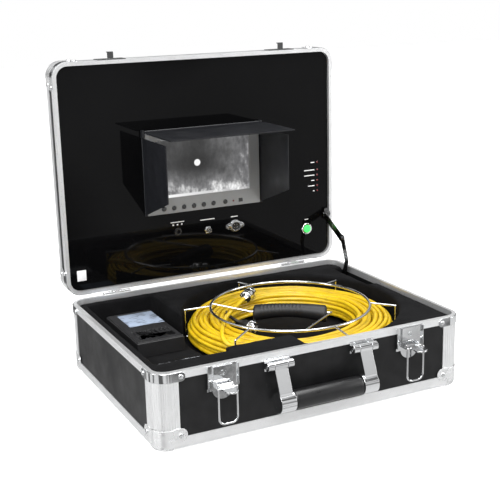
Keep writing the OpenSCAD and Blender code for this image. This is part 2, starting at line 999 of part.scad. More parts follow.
module camera_head() {
    p = [reel_x, 0, coil_z1] + tail_route[len(tail_route) - 1];
    color(chrome)
        translate(p)
            rotate([0, acos(head_dir[2]), atan2(head_dir[1], head_dir[0])]) {
                cylinder(h = 6, r1 = cable_d / 2 + 1, r2 = head_d / 2 - 2, $fn = 48);
                translate([0, 0, 6])
                    difference() {
                        cylinder(h = head_l - 6, d = head_d, $fn = 64);
                        translate([0, 0, head_l - 10])
                            rotate_extrude($fn = 64)
                                translate([head_d / 2 - 0.8, -1])
                                    square([2, 3]);
                    }
            }
}

plug_from = [-7, 48, 66];
plug_dir = [14, -22, -5] / norm([14, -22, -5]);
lead_route = [
    [-74, 66, -5], [-71, 62, -8.5], [-67, 57, -13], [-62, 52.5, -17.5], [-57, 48, -20],
];

module plug_lead() {
    color(black)
        translate([reel_x, 0, coil_z1])
            tube(smooth(lead_route, 3), 5, 10);
}

module cable_plug() {
    color(chrome)
        translate(plug_from)
            rotate([0, acos(plug_dir[2]), atan2(plug_dir[1], plug_dir[0])]) {
                cylinder(h = 7, r1 = 4, r2 = 6.5, $fn = 48);
                translate([0, 0, 7])
                    cylinder(h = 8, r = 6.5, $fn = 48);
                translate([0, 0, 15])
                    difference() {
                        cylinder(h = 12, r = 8, $fn = 48);
                        translate([0, 0, 4])
                            cylinder(h = 12, r = 6, $fn = 48);
                    }
            }
}

// ---- lid ----

module lid_shell() {
    color(black)
        as_lid()
            half_shell(lid_h);
}

module lid_rim_frame() {
    color(alloy)
        as_lid()
            half_rim(lid_h);
}

module lid_edge_rails() {
    color(alloy)
        as_lid() {
            half_rails();
            half_posts(lid_h);
        }
}

module lid_corner_caps() {
    color(chrome)
        as_lid() {
            half_balls(lid_h);
            half_clips(lid_h);
        }
}

module lid_rivets() {
    color(chrome)
        as_lid()
            half_rivets(lid_h);
}

// ---- lid panel ----
picture_v = 128.5;                  // lower edge of the picture
key_v = 112.5;
key_x0 = -67.5;
power_key_x = 34.2;
key_travel = 0.8;
bezel_t = 3;
dc_at = [-46, 75];
video_at = [4, 71];
cam_at = [50, 72];
switch_at = [180, 50];
leds_at = concat([for (k = [0 : 4]) [200, 111.2 + 8.6 * k]], [[200, 157.8]]);
led_r = 1.5;

module panel_holes() {
    on_panel(-picture_w / 2 - 3, picture_v - 3, -panel_t - 1)
        cube([picture_w + 6, picture_h + 6, panel_t + 2]);
    on_panel(dc_at[0], dc_at[1], -panel_t - 1)
        cylinder(h = panel_t + 2, r = 4);
    on_panel(video_at[0], video_at[1], -panel_t - 1)
        cylinder(h = panel_t + 2, r = 4);
    on_panel(cam_at[0], cam_at[1], -panel_t - 1)
        cylinder(h = panel_t + 2, r = 8);
    on_panel(switch_at[0], switch_at[1], -panel_t - 1)
        cylinder(h = panel_t + 2, r = 8);
    for (p = leds_at)
        on_panel(p[0], p[1], -panel_t - 1)
            cylinder(h = panel_t + 2, r = led_r, $fn = 24);
}

module control_panel() {
    color(black)
        difference() {
            as_lid()
                translate([0, 0, lid_h - panel_recess - panel_t])
                    linear_extrude(panel_t)
                        outline(rim_w + 0.2);
            panel_holes();
        }
}

module monitor_case() {
    color("dimgray") {
        on_panel(-monitor_w / 2 + 4, monitor_v + 3, -panel_t - monitor_t)
            cube([monitor_w - 8, monitor_h - 6, monitor_t]);
        on_panel(-picture_w / 2 - 2, picture_v - 2, -panel_t)
            cube([picture_w + 4, picture_h + 4, panel_t - 1.2]);
    }
}

hood_v = monitor_v + monitor_h + 2.5;    // hinge of the top flap
hood_z = 4.5;
side_z = 1.9;                            // hinges of the side flaps
side_x = monitor_w / 2 + 2.5;
hood_pin_r = 0.9;
hood_t = 1.6;
side_v0 = monitor_v + 3;
side_v1 = hood_v - 9;

module monitor_bezel() {
    lug_t = 4.2;
    color("silver")
        difference() {
            union() {
                on_panel(-monitor_w / 2, monitor_v, 0)
                    cube([monitor_w, monitor_h, bezel_t]);
                for (s = [-1, 1]) {
                    x = s > 0 ? monitor_w / 2 : -monitor_w / 2 - lug_t;
                    on_panel(x, side_v1 + 0.5, 0)
                        cube([lug_t, hood_v + 2.5 - side_v1 - 0.5, hood_z + 2.5]);
                    on_panel(x, monitor_v, 0)
                        cube([lug_t, side_v0 - monitor_v - 0.4, side_z + 1.4]);
                    // hinge pins of the flaps
                    on_panel(s * monitor_w / 2 - (s > 0 ? 4.5 : 0), hood_v, hood_z)
                        rotate([0, 90, 0])
                            cylinder(h = 4.5, r = hood_pin_r, $fn = 24);
                    on_panel(s * side_x, side_v1 + 0.5, side_z)
                        rotate([90, 0, 0])
                            cylinder(h = 5, r = hood_pin_r, $fn = 24);
                    on_panel(s * side_x, side_v0 + 4, side_z)
                        rotate([90, 0, 0])
                            cylinder(h = 5, r = hood_pin_r, $fn = 24);
                }
            }
            on_panel(-picture_w / 2, picture_v, -1)
                cube([picture_w, picture_h, bezel_t + 2]);
            for (k = [0 : 5])
                on_panel(key_x0 + k * key_pitch, key_v, -1)
                    cylinder(h = bezel_t + 2, d = key_d + 0.6, $fn = 32);
            on_panel(power_key_x, key_v, -1)
                cylinder(h = bezel_t + 2, d = key_d + 0.6, $fn = 32);
            on_panel(47.8, key_v, bezel_t - 1)
                cylinder(h = 2, r = led_r, $fn = 24);
            on_panel(60.4 - 3.5, key_v - 3, bezel_t - 1)
                cube([7, 6, 2]);
        }
}

module display_screen() {
    color("darkslategray")
        on_panel(-picture_w / 2 + 0.2, picture_v + 0.2, -1.2)
            cube([picture_w - 0.4, picture_h - 0.4, 2.4]);
}

module remote_sensor() {
    color("black")
        on_panel(60.4 - 3.5, key_v - 3, bezel_t - 1)
            cube([7, 6, 1.3]);
}

module key(x) {
    color(black)
        on_panel(x, key_v, bezel_t - 2) {
            cylinder(h = 2.4, d = key_d, $fn = 32);
            translate([0, 0, 2.4])
                cylinder(h = 0.6, r1 = key_d / 2, r2 = key_d / 2 - 0.6, $fn = 32);
        }
}

module menu_key_1() {
    key(key_x0);
}

module menu_key_2() {
    key(key_x0 + key_pitch);
}

module menu_key_3() {
    key(key_x0 + 2 * key_pitch);
}

module menu_key_4() {
    key(key_x0 + 3 * key_pitch);
}

module menu_key_5() {
    key(key_x0 + 4 * key_pitch);
}

module menu_key_6() {
    key(key_x0 + 5 * key_pitch);
}

module monitor_power_key() {
    key(power_key_x);
}

// ---- hood ----
module hood_top_flap() {
    w = monitor_w - 0.8;
    color(black)
        on_panel(0, hood_v, hood_z)
            difference() {
                union() {
                    translate([-w / 2, 0, 0])
                        rotate([0, 90, 0])
                            cylinder(h = w, r = 1.8, $fn = 32);
                    translate([-w / 2, -hood_t / 2, 0])
                        cube([w, hood_t, 14]);
                    translate([0, hood_t / 2, 12])
                        rotate([90, 0, 0])
                            linear_extrude(hood_t)
                                polygon([
                                    [-w / 2 - 5, 0], [w / 2 + 5, 0],
                                    [w / 2 + 3.5, hood_top_l - 12],
                                    [-w / 2 - 3.5, hood_top_l - 12],
                                ]);
                }
                for (s = [-1, 1])
                    translate([s * w / 2 - (s > 0 ? 5 : 1), 0, 0])
                        rotate([0, 90, 0])
                            cylinder(h = 6, r = hood_pin_r + fit, $fn = 24);
            }
}

module side_flap(s) {
    l = side_v1 - side_v0;
    color(black)
        on_panel(s * side_x, side_v0, side_z)
            difference() {
                union() {
                    rotate([-90, 0, 0])
                        cylinder(h = l, r = 1.4, $fn = 32);
                    // outline: full height at the hinge, lower edge rising to the front
                    rotate([0, -90, 0])
                        translate([0, 0, -hood_t / 2])
                            linear_extrude(hood_t)
                                polygon([
                                    [0, 0], [5, 0], [hood_side_l, 32],
                                    [hood_side_l, l], [0, l],
                                ]);
                }
                translate([0, -1, 0])
                    rotate([-90, 0, 0])
                        cylinder(h = 5.6, r = hood_pin_r + fit, $fn = 24);
                translate([0, l - 5, 0])
                    rotate([-90, 0, 0])
                        cylinder(h = 6, r = hood_pin_r + fit, $fn = 24);
            }
}

module hood_left_flap() {
    side_flap(-1);
}

module hood_right_flap() {
    side_flap(1);
}

// ---- sockets and switch ----
module dc_jack() {
    color(black)
        on_panel(dc_at[0], dc_at[1], 0) {
            difference() {
                union() {
                    cylinder(h = 2, r = 6);
                    translate([0, 0, 2])
                        cylinder(h = 1.5, r = 4.6);
                    translate([0, 0, -12])
                        cylinder(h = 12, r = 4);
                }
                translate([0, 0, -8])
                    cylinder(h = 12, r = 2.8, $fn = 32);
            }
            translate([0, 0, -8])
                cylinder(h = 9, r = 1, $fn = 24);
        }
}

module video_jack() {
    color(chrome)
        on_panel(video_at[0], video_at[1], 0)
            difference() {
                union() {
                    cylinder(h = 1.6, r = 6.2, $fn = 6);
                    translate([0, 0, 1.6])
                        cylinder(h = 5, r = 4.1);
                    translate([0, 0, -12])
                        cylinder(h = 12, r = 4);
                }
                translate([0, 0, -6])
                    cylinder(h = 14, r = 1.7, $fn = 32);
            }
}

module cam_socket() {
    hole = 12;
    color(chrome)
        on_panel(cam_at[0], cam_at[1], 0) {
            difference() {
                union() {
                    linear_extrude(2) {
                        circle(9.5);
                        polygon([[0, 9.5], [hole + 1.5, 3.6], [hole + 1.5, -3.6],
                                 [0, -9.5], [-hole - 1.5, -3.6], [-hole - 1.5, 3.6]]);
                        for (s = [-1, 1])
                            translate([s * hole, 0])
                                circle(3.9, $fn = 32);
                    }
                    cylinder(h = 6, r = 8);
                    translate([0, 0, -12])
                        cylinder(h = 12, r = 8);
                    for (s = [-1, 1])
                        translate([s * hole, 0, 2])
                            dome(2.6, 1.2);
                }
                translate([0, 0, 1])
                    cylinder(h = 8, r = 6.4);
            }
            // contact pins
            for (a = [45 : 90 : 315])
                rotate(a)
                    translate([3.2, 0, 1])
                        cylinder(h = 3.5, r = 0.6, $fn = 16);
        }
}

module status_leds() {
    color("darkred") {
        for (p = leds_at)
            on_panel(p[0], p[1], -panel_t - 1) {
                cylinder(h = panel_t + 1.4, r = led_r, $fn = 24);
                translate([0, 0, panel_t + 1.4])
                    dome(led_r, 0.6);
            }
        on_panel(47.8, key_v, bezel_t - 1)
            cylinder(h = 1.3, r = led_r, $fn = 24);
    }
}

switch_r = 5.6;
switch_travel = 2;

module power_switch_ring() {
    color(chrome)
        on_panel(switch_at[0], switch_at[1], 0)
            difference() {
                union() {
                    cylinder(h = 1.6, r1 = 9.5, r2 = 8.6, $fn = 64);
                    translate([0, 0, -14])
                        cylinder(h = 14, r = 8);
                }
                translate([0, 0, -9])
                    cylinder(h = 12, r = switch_r + 0.3);
            }
}

module power_button() {
    color("limegreen")
        on_panel(switch_at[0], switch_at[1], -6) {
            cylinder(h = 9, r = switch_r);
            translate([0, 0, 9])
                cylinder(h = 0.8, r1 = switch_r, r2 = switch_r - 0.8);
        }
}

module battery_pack() {
    color("royalblue")
        on_panel(-204, 22, -panel_t - 25)
            cube([100, 128, 24]);
}

module control_board() {
    color("darkgreen")
        on_panel(100, 66, -panel_t - 10) {
            cube([108, 120, 1.6]);
            for (k = [0 : 3])
                translate([12 + 24 * k, 78, 1.6])
                    cube([14, 10, 3]);
            translate([14, 14, 1.6])
                cube([44, 26, 5]);
        }
}

base_shell();
base_rim_frame();
base_bottom_rails();
base_corner_posts();
base_corner_caps();
base_rivets();
foam_insert();
base_hinge_leaves();
pivot_pins();
latch_plates();
handle_brackets();
stay_base_bracket();
power_adapter();
accessory_pouch();
reel_frame();
reel_grip();
push_cable_coil();
push_cable_tail();
camera_head();
plug_lead();
cable_plug();
handle_arms();
handle_grip();
latch_lever_left();
latch_lever_right();
latch_bail_left();
latch_bail_right();
stay_lower_link();
stay_upper_link();
lid_shell();
lid_rim_frame();
lid_edge_rails();
lid_corner_caps();
lid_rivets();
lid_hinge_leaves();
latch_catches();
stay_lid_bracket();
control_panel();
monitor_case();
monitor_bezel();
display_screen();
remote_sensor();
dc_jack();
video_jack();
cam_socket();
status_leds();
power_switch_ring();
power_button();
battery_pack();
control_board();
hood_top_flap();
hood_left_flap();
hood_right_flap();
menu_key_1();
menu_key_2();
menu_key_3();
menu_key_4();
menu_key_5();
menu_key_6();
monitor_power_key();
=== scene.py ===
"""Pipe inspection camera in a case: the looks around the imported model.

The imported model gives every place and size. Each operator makes one piece, or one group of
like pieces, and its finish.
"""

import json
import math
import random

import bmesh
import bpy
from bpy.props import FloatProperty, FloatVectorProperty, IntProperty, PointerProperty
from mathutils import Matrix, Vector, noise

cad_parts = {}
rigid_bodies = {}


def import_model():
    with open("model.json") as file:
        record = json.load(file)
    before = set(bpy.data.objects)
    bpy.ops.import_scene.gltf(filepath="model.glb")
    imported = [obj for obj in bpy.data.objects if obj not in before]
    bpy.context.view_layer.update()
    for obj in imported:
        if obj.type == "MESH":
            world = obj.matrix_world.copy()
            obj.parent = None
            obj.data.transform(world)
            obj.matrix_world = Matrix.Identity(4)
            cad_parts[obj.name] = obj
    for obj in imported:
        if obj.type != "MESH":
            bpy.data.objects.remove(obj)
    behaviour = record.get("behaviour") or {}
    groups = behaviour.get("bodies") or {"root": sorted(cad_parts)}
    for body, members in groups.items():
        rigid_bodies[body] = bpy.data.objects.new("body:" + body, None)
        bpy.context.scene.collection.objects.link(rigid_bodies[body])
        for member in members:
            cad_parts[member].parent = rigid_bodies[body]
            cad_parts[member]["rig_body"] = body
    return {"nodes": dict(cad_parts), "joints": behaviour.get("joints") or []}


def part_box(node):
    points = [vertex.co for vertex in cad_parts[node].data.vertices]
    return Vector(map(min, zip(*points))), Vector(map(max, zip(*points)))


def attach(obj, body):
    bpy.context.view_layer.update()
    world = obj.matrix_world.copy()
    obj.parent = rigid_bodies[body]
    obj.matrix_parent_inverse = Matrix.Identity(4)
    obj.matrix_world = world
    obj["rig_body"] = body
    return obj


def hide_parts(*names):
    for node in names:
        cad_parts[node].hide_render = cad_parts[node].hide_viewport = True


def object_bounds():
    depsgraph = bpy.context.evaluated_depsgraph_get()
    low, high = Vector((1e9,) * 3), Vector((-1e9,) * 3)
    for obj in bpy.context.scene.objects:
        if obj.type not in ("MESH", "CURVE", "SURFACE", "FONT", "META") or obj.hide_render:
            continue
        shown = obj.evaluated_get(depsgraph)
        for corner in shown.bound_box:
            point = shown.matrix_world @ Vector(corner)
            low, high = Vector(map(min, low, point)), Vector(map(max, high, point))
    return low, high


bl_info = {
    "name": "Pipe inspection camera case",
    "version": (1, 0, 0),
    "blender": (4, 5, 0),
    "location": "View3D > Sidebar > Inspection case",
    "description": "Makes the pieces and finishes of a pipe inspection camera in its case",
    "category": "Add Mesh",
}

MM = 0.001
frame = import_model()
CAD_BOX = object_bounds()
JOINTS = {j["name"]: j for j in frame["joints"]}

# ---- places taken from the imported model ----
RIGHT = Vector((1, 0, 0))
UP_PANEL = Vector(JOINTS["hood_right_hinge"]["axis"])  # up along the lid's panel
OUT_PANEL = -Vector(JOINTS["power_button_press"]["axis"])  # out of the panel's face
HOOD_V, HOOD_Z = 231.5, 4.5  # the top flap's hinge, up the panel and out of it
PANEL_ORIGIN = (
    Vector(JOINTS["hood_top_hinge"]["pos_m"])
    - UP_PANEL * HOOD_V * MM
    - OUT_PANEL * HOOD_Z * MM
)
PANEL = Matrix((RIGHT, UP_PANEL, OUT_PANEL)).transposed().to_4x4()
PANEL.translation = PANEL_ORIGIN
COIL_LOW, COIL_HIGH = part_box("push_cable_coil")
REEL_CENTRE = (COIL_LOW + COIL_HIGH) / 2

# across and up the panel, mm
LED_COLUMN_X = 200.0
LED_ROWS = [111.2 + 8.6 * k for k in range(5)] + [157.8]
JACKS = {"dc": (-46.0, 75.0), "video": (4.0, 71.0), "camera": (50.0, 72.0)}
SWITCH = (180.0, 50.0)

# the loose end of the cable, from the coil to the camera head, from the reel's middle, mm
TAIL_ROUTE = [
    (-128, -66, -6), (-130.5, -56, -2.5), (-128, -44, 1), (-122, -31, 2.5), (-112, -12, 2.5),
    (-100, 9, 1.8), (-87, 28, 0.6), (-72, 46, -0.6), (-57, 60, 1.2), (-45, 70, 3.2), (-36, 78, 4),
]
LEAD_ROUTE = [(-74, 66, -5), (-71, 62, -8.5), (-67, 57, -13), (-62, 52.5, -17.5), (-57, 48, -20)]
HEAD_AIM = Vector((24, 22, 1)).normalized()
PLUG_AIM = Vector((14, -22, -5)).normalized()


def mm(x, y, z):
    return Vector((x, y, z)) * MM


def from_reel(p):
    return Vector((REEL_CENTRE.x, REEL_CENTRE.y, COIL_HIGH.z)) + mm(*p)


def looks():
    return bpy.context.scene.case_finishes


def sizes():
    return bpy.context.scene.case_details


# ---- finishes ----
FINISHES = {}


def finish(name, colour, roughness=0.5, metallic=0.0, **sockets):
    """A new material and its node tree, shader and Object coordinates."""
    mat = bpy.data.materials.new(name)
    mat.use_nodes = True
    tree = mat.node_tree
    shader = tree.nodes["Principled BSDF"]
    shader.inputs["Base Color"].default_value = (*colour[:3], 1)
    shader.inputs["Roughness"].default_value = roughness
    shader.inputs["Metallic"].default_value = metallic
    for key, value in sockets.items():
        shader.inputs[key.replace("_", " ")].default_value = value
    place = tree.nodes.new("ShaderNodeTexCoord").outputs["Object"]
    return mat, tree, shader, place


def mapped(tree, vector, scale=(1, 1, 1), location=(0, 0, 0), rotation=(0, 0, 0), kind="POINT"):
    node = tree.nodes.new("ShaderNodeMapping")
    node.vector_type = kind
    node.inputs["Scale"].default_value = scale
    node.inputs["Location"].default_value = location
    node.inputs["Rotation"].default_value = rotation
    tree.links.new(vector, node.inputs["Vector"])
    return node.outputs["Vector"]


def noise_of(tree, vector, scale, detail=3.0, roughness=0.55, distortion=0.0):
    node = tree.nodes.new("ShaderNodeTexNoise")
    settings = {"Scale": scale, "Detail": detail, "Roughness": roughness, "Distortion": distortion}
    for key, value in settings.items():
        node.inputs[key].default_value = value
    tree.links.new(vector, node.inputs["Vector"])
    return node.outputs["Fac"]


def cells_of(tree, vector, scale, feature="F1"):
    node = tree.nodes.new("ShaderNodeTexVoronoi")
    node.feature = feature
    node.inputs["Scale"].default_value = scale
    tree.links.new(vector, node.inputs["Vector"])
    return node.outputs["Distance"]


def between(tree, value, low, high, at=(0.0, 1.0)):
    """value carried from the span at to the span low to high."""
    node = tree.nodes.new("ShaderNodeMapRange")
    node.clamp = True
    for key, v in (("From Min", at[0]), ("From Max", at[1]), ("To Min", low), ("To Max", high)):
        node.inputs[key].default_value = v
    tree.links.new(value, node.inputs["Value"])
    return node.outputs["Result"]


def shades(tree, value, stops):
    """A colour ramp; stops are (place, colour)."""
    node = tree.nodes.new("ShaderNodeValToRGB")
    ramp = node.color_ramp
    while len(ramp.elements) < len(stops):
        ramp.elements.new(0.5)
    for element, (at, colour) in zip(ramp.elements, stops):
        element.position = at
        element.color = (*colour[:3], 1)
    tree.links.new(value, node.inputs["Fac"])
    return node.outputs["Color"]


def maths(tree, operation, a, b=0.0):
    node = tree.nodes.new("ShaderNodeMath")
    node.operation = operation
    for socket, value in zip(node.inputs, (a, b)):
        if isinstance(value, (int, float)):
            socket.default_value = value
        else:
            tree.links.new(value, socket)
    return node.outputs["Value"]


def bumped(tree, shader, height, strength, distance_mm):
    node = tree.nodes.new("ShaderNodeBump")
    node.inputs["Strength"].default_value = strength
    node.inputs["Distance"].default_value = distance_mm * MM
    tree.links.new(height, node.inputs["Height"])
    tree.links.new(node.outputs["Normal"], shader.inputs["Normal"])


def tinted(colour, factor):
    return tuple(min(1.0, c * factor) for c in colour[:3])


def coloured(tree, shader, value, stops, socket="Base Color"):
    tree.links.new(shades(tree, value, stops), shader.inputs[socket])


def roughened(tree, shader, value, low, high, at=(0.3, 0.7)):
    tree.links.new(between(tree, value, low, high, at), shader.inputs["Roughness"])


def surface(name, colour, roughness=0.5, metallic=0.0, mottle=None, wear=None, grain=None, **sockets):
    """A finish whose colour, roughness and relief vary a little over the surface.

    mottle is (darkest, lightest, scale) of the colour, wear is (lowest, highest, scale) of the
    roughness, and grain is (scale, detail, strength, depth in mm) of the relief.
    """
    mat, tree, shader, place = finish(name, colour, roughness, metallic, **sockets)
    if mottle:
        low, high, scale = mottle
        stops = [(0.3, tinted(colour, low)), (0.7, tinted(colour, high))]
        coloured(tree, shader, noise_of(tree, place, scale, 4), stops)
    if wear:
        low, high, scale = wear
        roughened(tree, shader, noise_of(tree, place, scale, 4), low, high)
    if grain:
        scale, detail, strength, depth = grain
        bumped(tree, shader, noise_of(tree, place, scale, detail), strength, depth)
    return mat, tree, shader, place


def laminate():
    mat, tree, shader, place = surface(
        "Black laminate", looks().laminate, 0.45, 0, (0.75, 1.35, 60), (0.34, 0.5, 25),
        Specular_IOR_Level=0.3,
    )
    grain = cells_of(tree, place, 1300, "DISTANCE_TO_EDGE")
    pores = maths(tree, "MULTIPLY", noise_of(tree, place, 2200, 2), 0.5)
    bumped(tree, shader, maths(tree, "ADD", grain, pores), 0.35, 0.12)
    return mat


def brushed_alloy():
    mat, tree, shader, place = surface("Brushed alloy", looks().alloy, 0.32, 0.8, (0.95, 1.04, 30))
    lines = noise_of(tree, place, 900, 3)
    roughened(tree, shader, lines, 0.27, 0.4)
    bumped(tree, shader, lines, 0.08, 0.03)
    return mat


def plated(name, factor, low, high):
    colour = tinted(looks().plating, factor)
    return surface(name, colour, low, 1.0, wear=(low, high, 180), grain=(90, 2, 0.06, 0.3))[0]


def chrome():
    return plated("Bright chrome", 1.0, 0.05, 0.14)


# painted reflection: the bright chrome's colour cut to a fifth, standing for the dark surroundings mirrored
# in the catches and the stay
def reflection_darkened_chrome():
    return plated("Chrome darkened by painted reflection", 0.2, 0.12, 0.25)


def reel_wire():
    return plated("Plated reel wire", 0.9, 0.1, 0.2)


def corner_steel():
    colour = tinted(looks().alloy, 0.98)
    return surface("Pressed corner steel", colour, 0.3, 0.8, (0.95, 1.03, 40), (0.24, 0.34, 180))[0]


def case_foam():
    mat, tree, shader, place = surface(
        "Closed cell foam", looks().foam, 0.95, 0, (0.7, 1.5, 38), Specular_IOR_Level=0.15
    )
    waves = maths(tree, "MULTIPLY", noise_of(tree, place, 45, 3), 1.5)
    bumped(tree, shader, maths(tree, "ADD", cells_of(tree, place, 900), waves), 0.5, 0.35)
    return mat


def grip_foam():
    mat, tree, shader, place = surface("Foam rubber sleeve", (0.006, 0.006, 0.007), 0.5, 0, (0.8, 1.5, 80))
    bumped(tree, shader, cells_of(tree, place, 1100), 0.35, 0.12)
    return mat


def black_plastic(name="Moulded black plastic", colour=(0.01, 0.01, 0.011), roughness=0.5):
    wear = (roughness - 0.06, roughness + 0.08, 40)
    return surface(name, colour, roughness, 0, (0.85, 1.3, 70), wear, (2400, 2, 0.25, 0.06))[0]


def handle_rubber():
    return black_plastic("Handle rubber", (0.008, 0.008, 0.0085), 0.3)


def hood_plastic():
    return black_plastic("Hood plastic", (0.008, 0.0085, 0.0105), 0.36)


def gloss_black():
    return surface(
        "Gloss black plastic", (0.014, 0.014, 0.015), 0.12, 0, (0.9, 1.2, 100), (0.08, 0.2, 200),
        Coat_Weight=0.6, Coat_Roughness=0.05,
    )[0]


def acrylic():
    mat, tree, shader, place = surface(
        "Gloss acrylic", looks().panel, 0.04, 0, (0.9, 1.15, 12), Specular_IOR_Level=0.13
    )
    wiped = noise_of(tree, mapped(tree, place, (3, 1, 22)), 6.0, 5)
    roughened(tree, shader, wiped, 0.025, 0.075, (0.35, 0.75))
    return mat


def bezel_paint():
    colour = looks().bezel
    mat, tree, shader, place = surface(
        "Silver grey paint", colour, 0.36, 0.25, None, (0.3, 0.42, 60), (1800, 2, 0.1, 0.03),
        Coat_Weight=0.2,
    )
    flake = cells_of(tree, place, 3200)
    coloured(tree, shader, flake, [(0.1, tinted(colour, 0.86)), (0.6, tinted(colour, 1.12))])
    return mat


def cable_jacket():
    colour = looks().cable
    mat, tree, shader, place = finish(
        "Yellow cable jacket", colour, 0.34, Coat_Weight=0.25, Coat_Roughness=0.25
    )
    worn = noise_of(tree, place, 75, 5, 0.6)
    scuffs = noise_of(tree, mapped(tree, place, (1, 1, 3)), 520, 3)
    stops = [(0.25, tinted(colour, 0.72)), (0.5, colour), (0.78, tinted(colour, 1.1))]
    coloured(tree, shader, worn, stops)
    roughened(tree, shader, scuffs, 0.26, 0.46)
    bumped(tree, shader, scuffs, 0.12, 0.05)
    return mat


def green_light():
    colour = looks().button
    mat, tree, shader, place = finish("Lit green lens", colour, 0.2, Coat_Weight=0.5, Emission_Strength=1.1)
    stops = [(0.3, tinted(colour, 0.7)), (0.7, tinted(colour, 1.3))]
    coloured(tree, shader, noise_of(tree, place, 160, 2), stops, "Emission Color")
    return mat


def red_lens():
    return surface("Dark red lens", (0.12, 0.008, 0.01), 0.15, 0, (0.8, 1.4, 900), Coat_Weight=0.6)[0]


def printed_white():
    return surface("White print", (0.78, 0.78, 0.78), 0.5, 0, (0.88, 1.05, 300))[0]


def label_film():
    """Blue-grey sticker with plain blocks and rules where print would be."""
    colour = (0.30, 0.36, 0.46)
    mat, tree, shader, place = finish("Blue grey label", colour, 0.42, Coat_Weight=0.3)
    rows = noise_of(tree, mapped(tree, place, (60, 420, 1)), 1.0, 1)
    blocks = noise_of(tree, mapped(tree, place, (90, 60, 1), (7, 3, 0)), 1.0, 0)
    rows = between(tree, rows, 0, 1, (0.52, 0.58))
    ink = maths(tree, "MULTIPLY", rows, between(tree, blocks, 0, 1, (0.45, 0.52)))
    coloured(tree, shader, ink, [(0.0, tinted(colour, 1.15)), (1.0, tinted(colour, 0.35))])
    return mat


def clear_film():
    mat, tree, shader, place = surface(
        "Clear bag film", (0.55, 0.57, 0.6), 0.12, wear=(0.06, 0.28, 90), Alpha=0.45
    )
    creases = noise_of(tree, place, 120, 6, 0.65, 0.6)
    bumped(tree, shader, creases, 0.8, 1.2)
    return mat


def film_wrap():
    return surface(
        "Blue shrink film", (0.03, 0.08, 0.32), 0.22, 0, (0.8, 1.3, 50), grain=(130, 4, 0.3, 0.4),
        Coat_Weight=0.4,
    )[0]


def solder_mask():
    colour = (0.012, 0.12, 0.045)
    mat, tree, shader, place = finish("Green solder mask", colour, 0.3)
    tracks = noise_of(tree, mapped(tree, place, (500, 500, 500)), 0.6, 0)
    coloured(tree, shader, tracks, [(0.47, colour), (0.5, tinted(colour, 1.9))])
    return mat


def lens_glass():
    return surface(
        "Lens glass", (0.01, 0.012, 0.016), 0.03, 0, (0.8, 1.5, 500), Coat_Weight=1.0, Coat_Roughness=0.0
    )[0]


def screen_picture():
    """A grey view down a pipe: a bright disc in a dark middle and lighter walls, with a painted highlight
    along the bottom for the light on the bezel's lower bevel.
    """
    mat, tree, shader, place = finish(
        "Screen picture", (0.004, 0.004, 0.004), 0.12,
        Coat_Weight=0.4, Coat_Roughness=0.08, Emission_Strength=1.0,
    )
    local = mapped(tree, place, (1, 1, 1), tuple(PANEL.translation), tuple(PANEL.to_euler()), "TEXTURE")
    split = tree.nodes.new("ShaderNodeSeparateXYZ")
    tree.links.new(local, split.inputs[0])

    def times(a, b):
        return maths(tree, "MULTIPLY", a, b)

    def larger(a, b):
        return maths(tree, "MAXIMUM", a, b)

    def fade(value, low, high, *at):
        return between(tree, value, low, high, at)

    def away(cx, cy, sx, sy):
        a = maths(tree, "DIVIDE", maths(tree, "SUBTRACT", u, cx), sx)
        b = maths(tree, "DIVIDE", maths(tree, "SUBTRACT", v, cy), sy)
        return maths(tree, "SQRT", maths(tree, "ADD", times(a, a), times(b, b)))

    u, v = (times(split.outputs[axis], 1000.0) for axis in "XY")
    disc = fade(away(-10, 178, 1, 1), 1.0, 0.0, 4.6, 5.8)
    halo = fade(away(-10, 178, 1.25, 1.0), 0.0, 1.0, 6.0, 40.0)
    low = fade(v, 1.0, 0.05, 131.0, 172.0)
    side = fade(u, 0.05, 0.55, 0.0, 76.0)
    streaks = noise_of(tree, mapped(tree, local, (150, 70, 1)), 1.0, 5, 0.6)
    clouds = noise_of(tree, mapped(tree, local, (40, 40, 1)), 1.0, 5, 0.6)
    wall = maths(tree, "ADD", larger(times(low, 0.62), times(side, 0.6)), 0.05)
    wall = times(times(wall, fade(streaks, 0.6, 1.5, 0.25, 0.75)), fade(clouds, 0.5, 1.6, 0.3, 0.7))
    # painted highlight: a bright band along the bottom of the picture, brightest at the left, standing for
    # the light caught on the bezel's lower bevel
    strip = times(fade(v, 1.0, 0.0, 132.4, 134.2), fade(u, 1.0, 0.6, -60.0, 76.0))
    value = larger(larger(times(wall, halo), disc), strip)
    greys = [(0.0, (0.002, 0.002, 0.002)), (0.5, (0.2, 0.2, 0.205)), (1.0, (0.95, 0.95, 0.95))]
    coloured(tree, shader, value, greys, "Emission Color")
    return mat


def made(maker):
    """The finish that maker makes, made once."""
    key = maker.__name__
    if key not in FINISHES:
        FINISHES[key] = maker()
    return FINISHES[key]


# ---- making and placing pieces ----
def placed(name, data):
    """A new object at the origin, in the scene."""
    obj = bpy.data.objects.new(name, data)
    bpy.context.scene.collection.objects.link(obj)
    return obj


def mesh_of(name, bm):
    """A new mesh of bm's shape; bm is freed."""
    mesh = bpy.data.meshes.new(name)
    bm.to_mesh(mesh)
    bm.free()
    return mesh


def settle(obj, body, stands_for=(), material=None):
    """Gives a piece its finish and body, and hides the nodes it stands for."""
    if material is not None:
        obj.data.materials.clear()
        obj.data.materials.append(material)
    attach(obj, body)
    if stands_for:
        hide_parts(*([stands_for] if isinstance(stands_for, str) else stands_for))
    return obj


def shade_by_angle(mesh, degrees=32):
    """Smooth faces, with edges sharper than this kept crisp."""
    bm = bmesh.new()
    bm.from_mesh(mesh)
    for face in bm.faces:
        face.smooth = True
    for edge in bm.edges:
        edge.smooth = len(edge.link_faces) == 2 and edge.calc_face_angle(0) < math.radians(degrees)
    bm.to_mesh(mesh)
    bm.free()


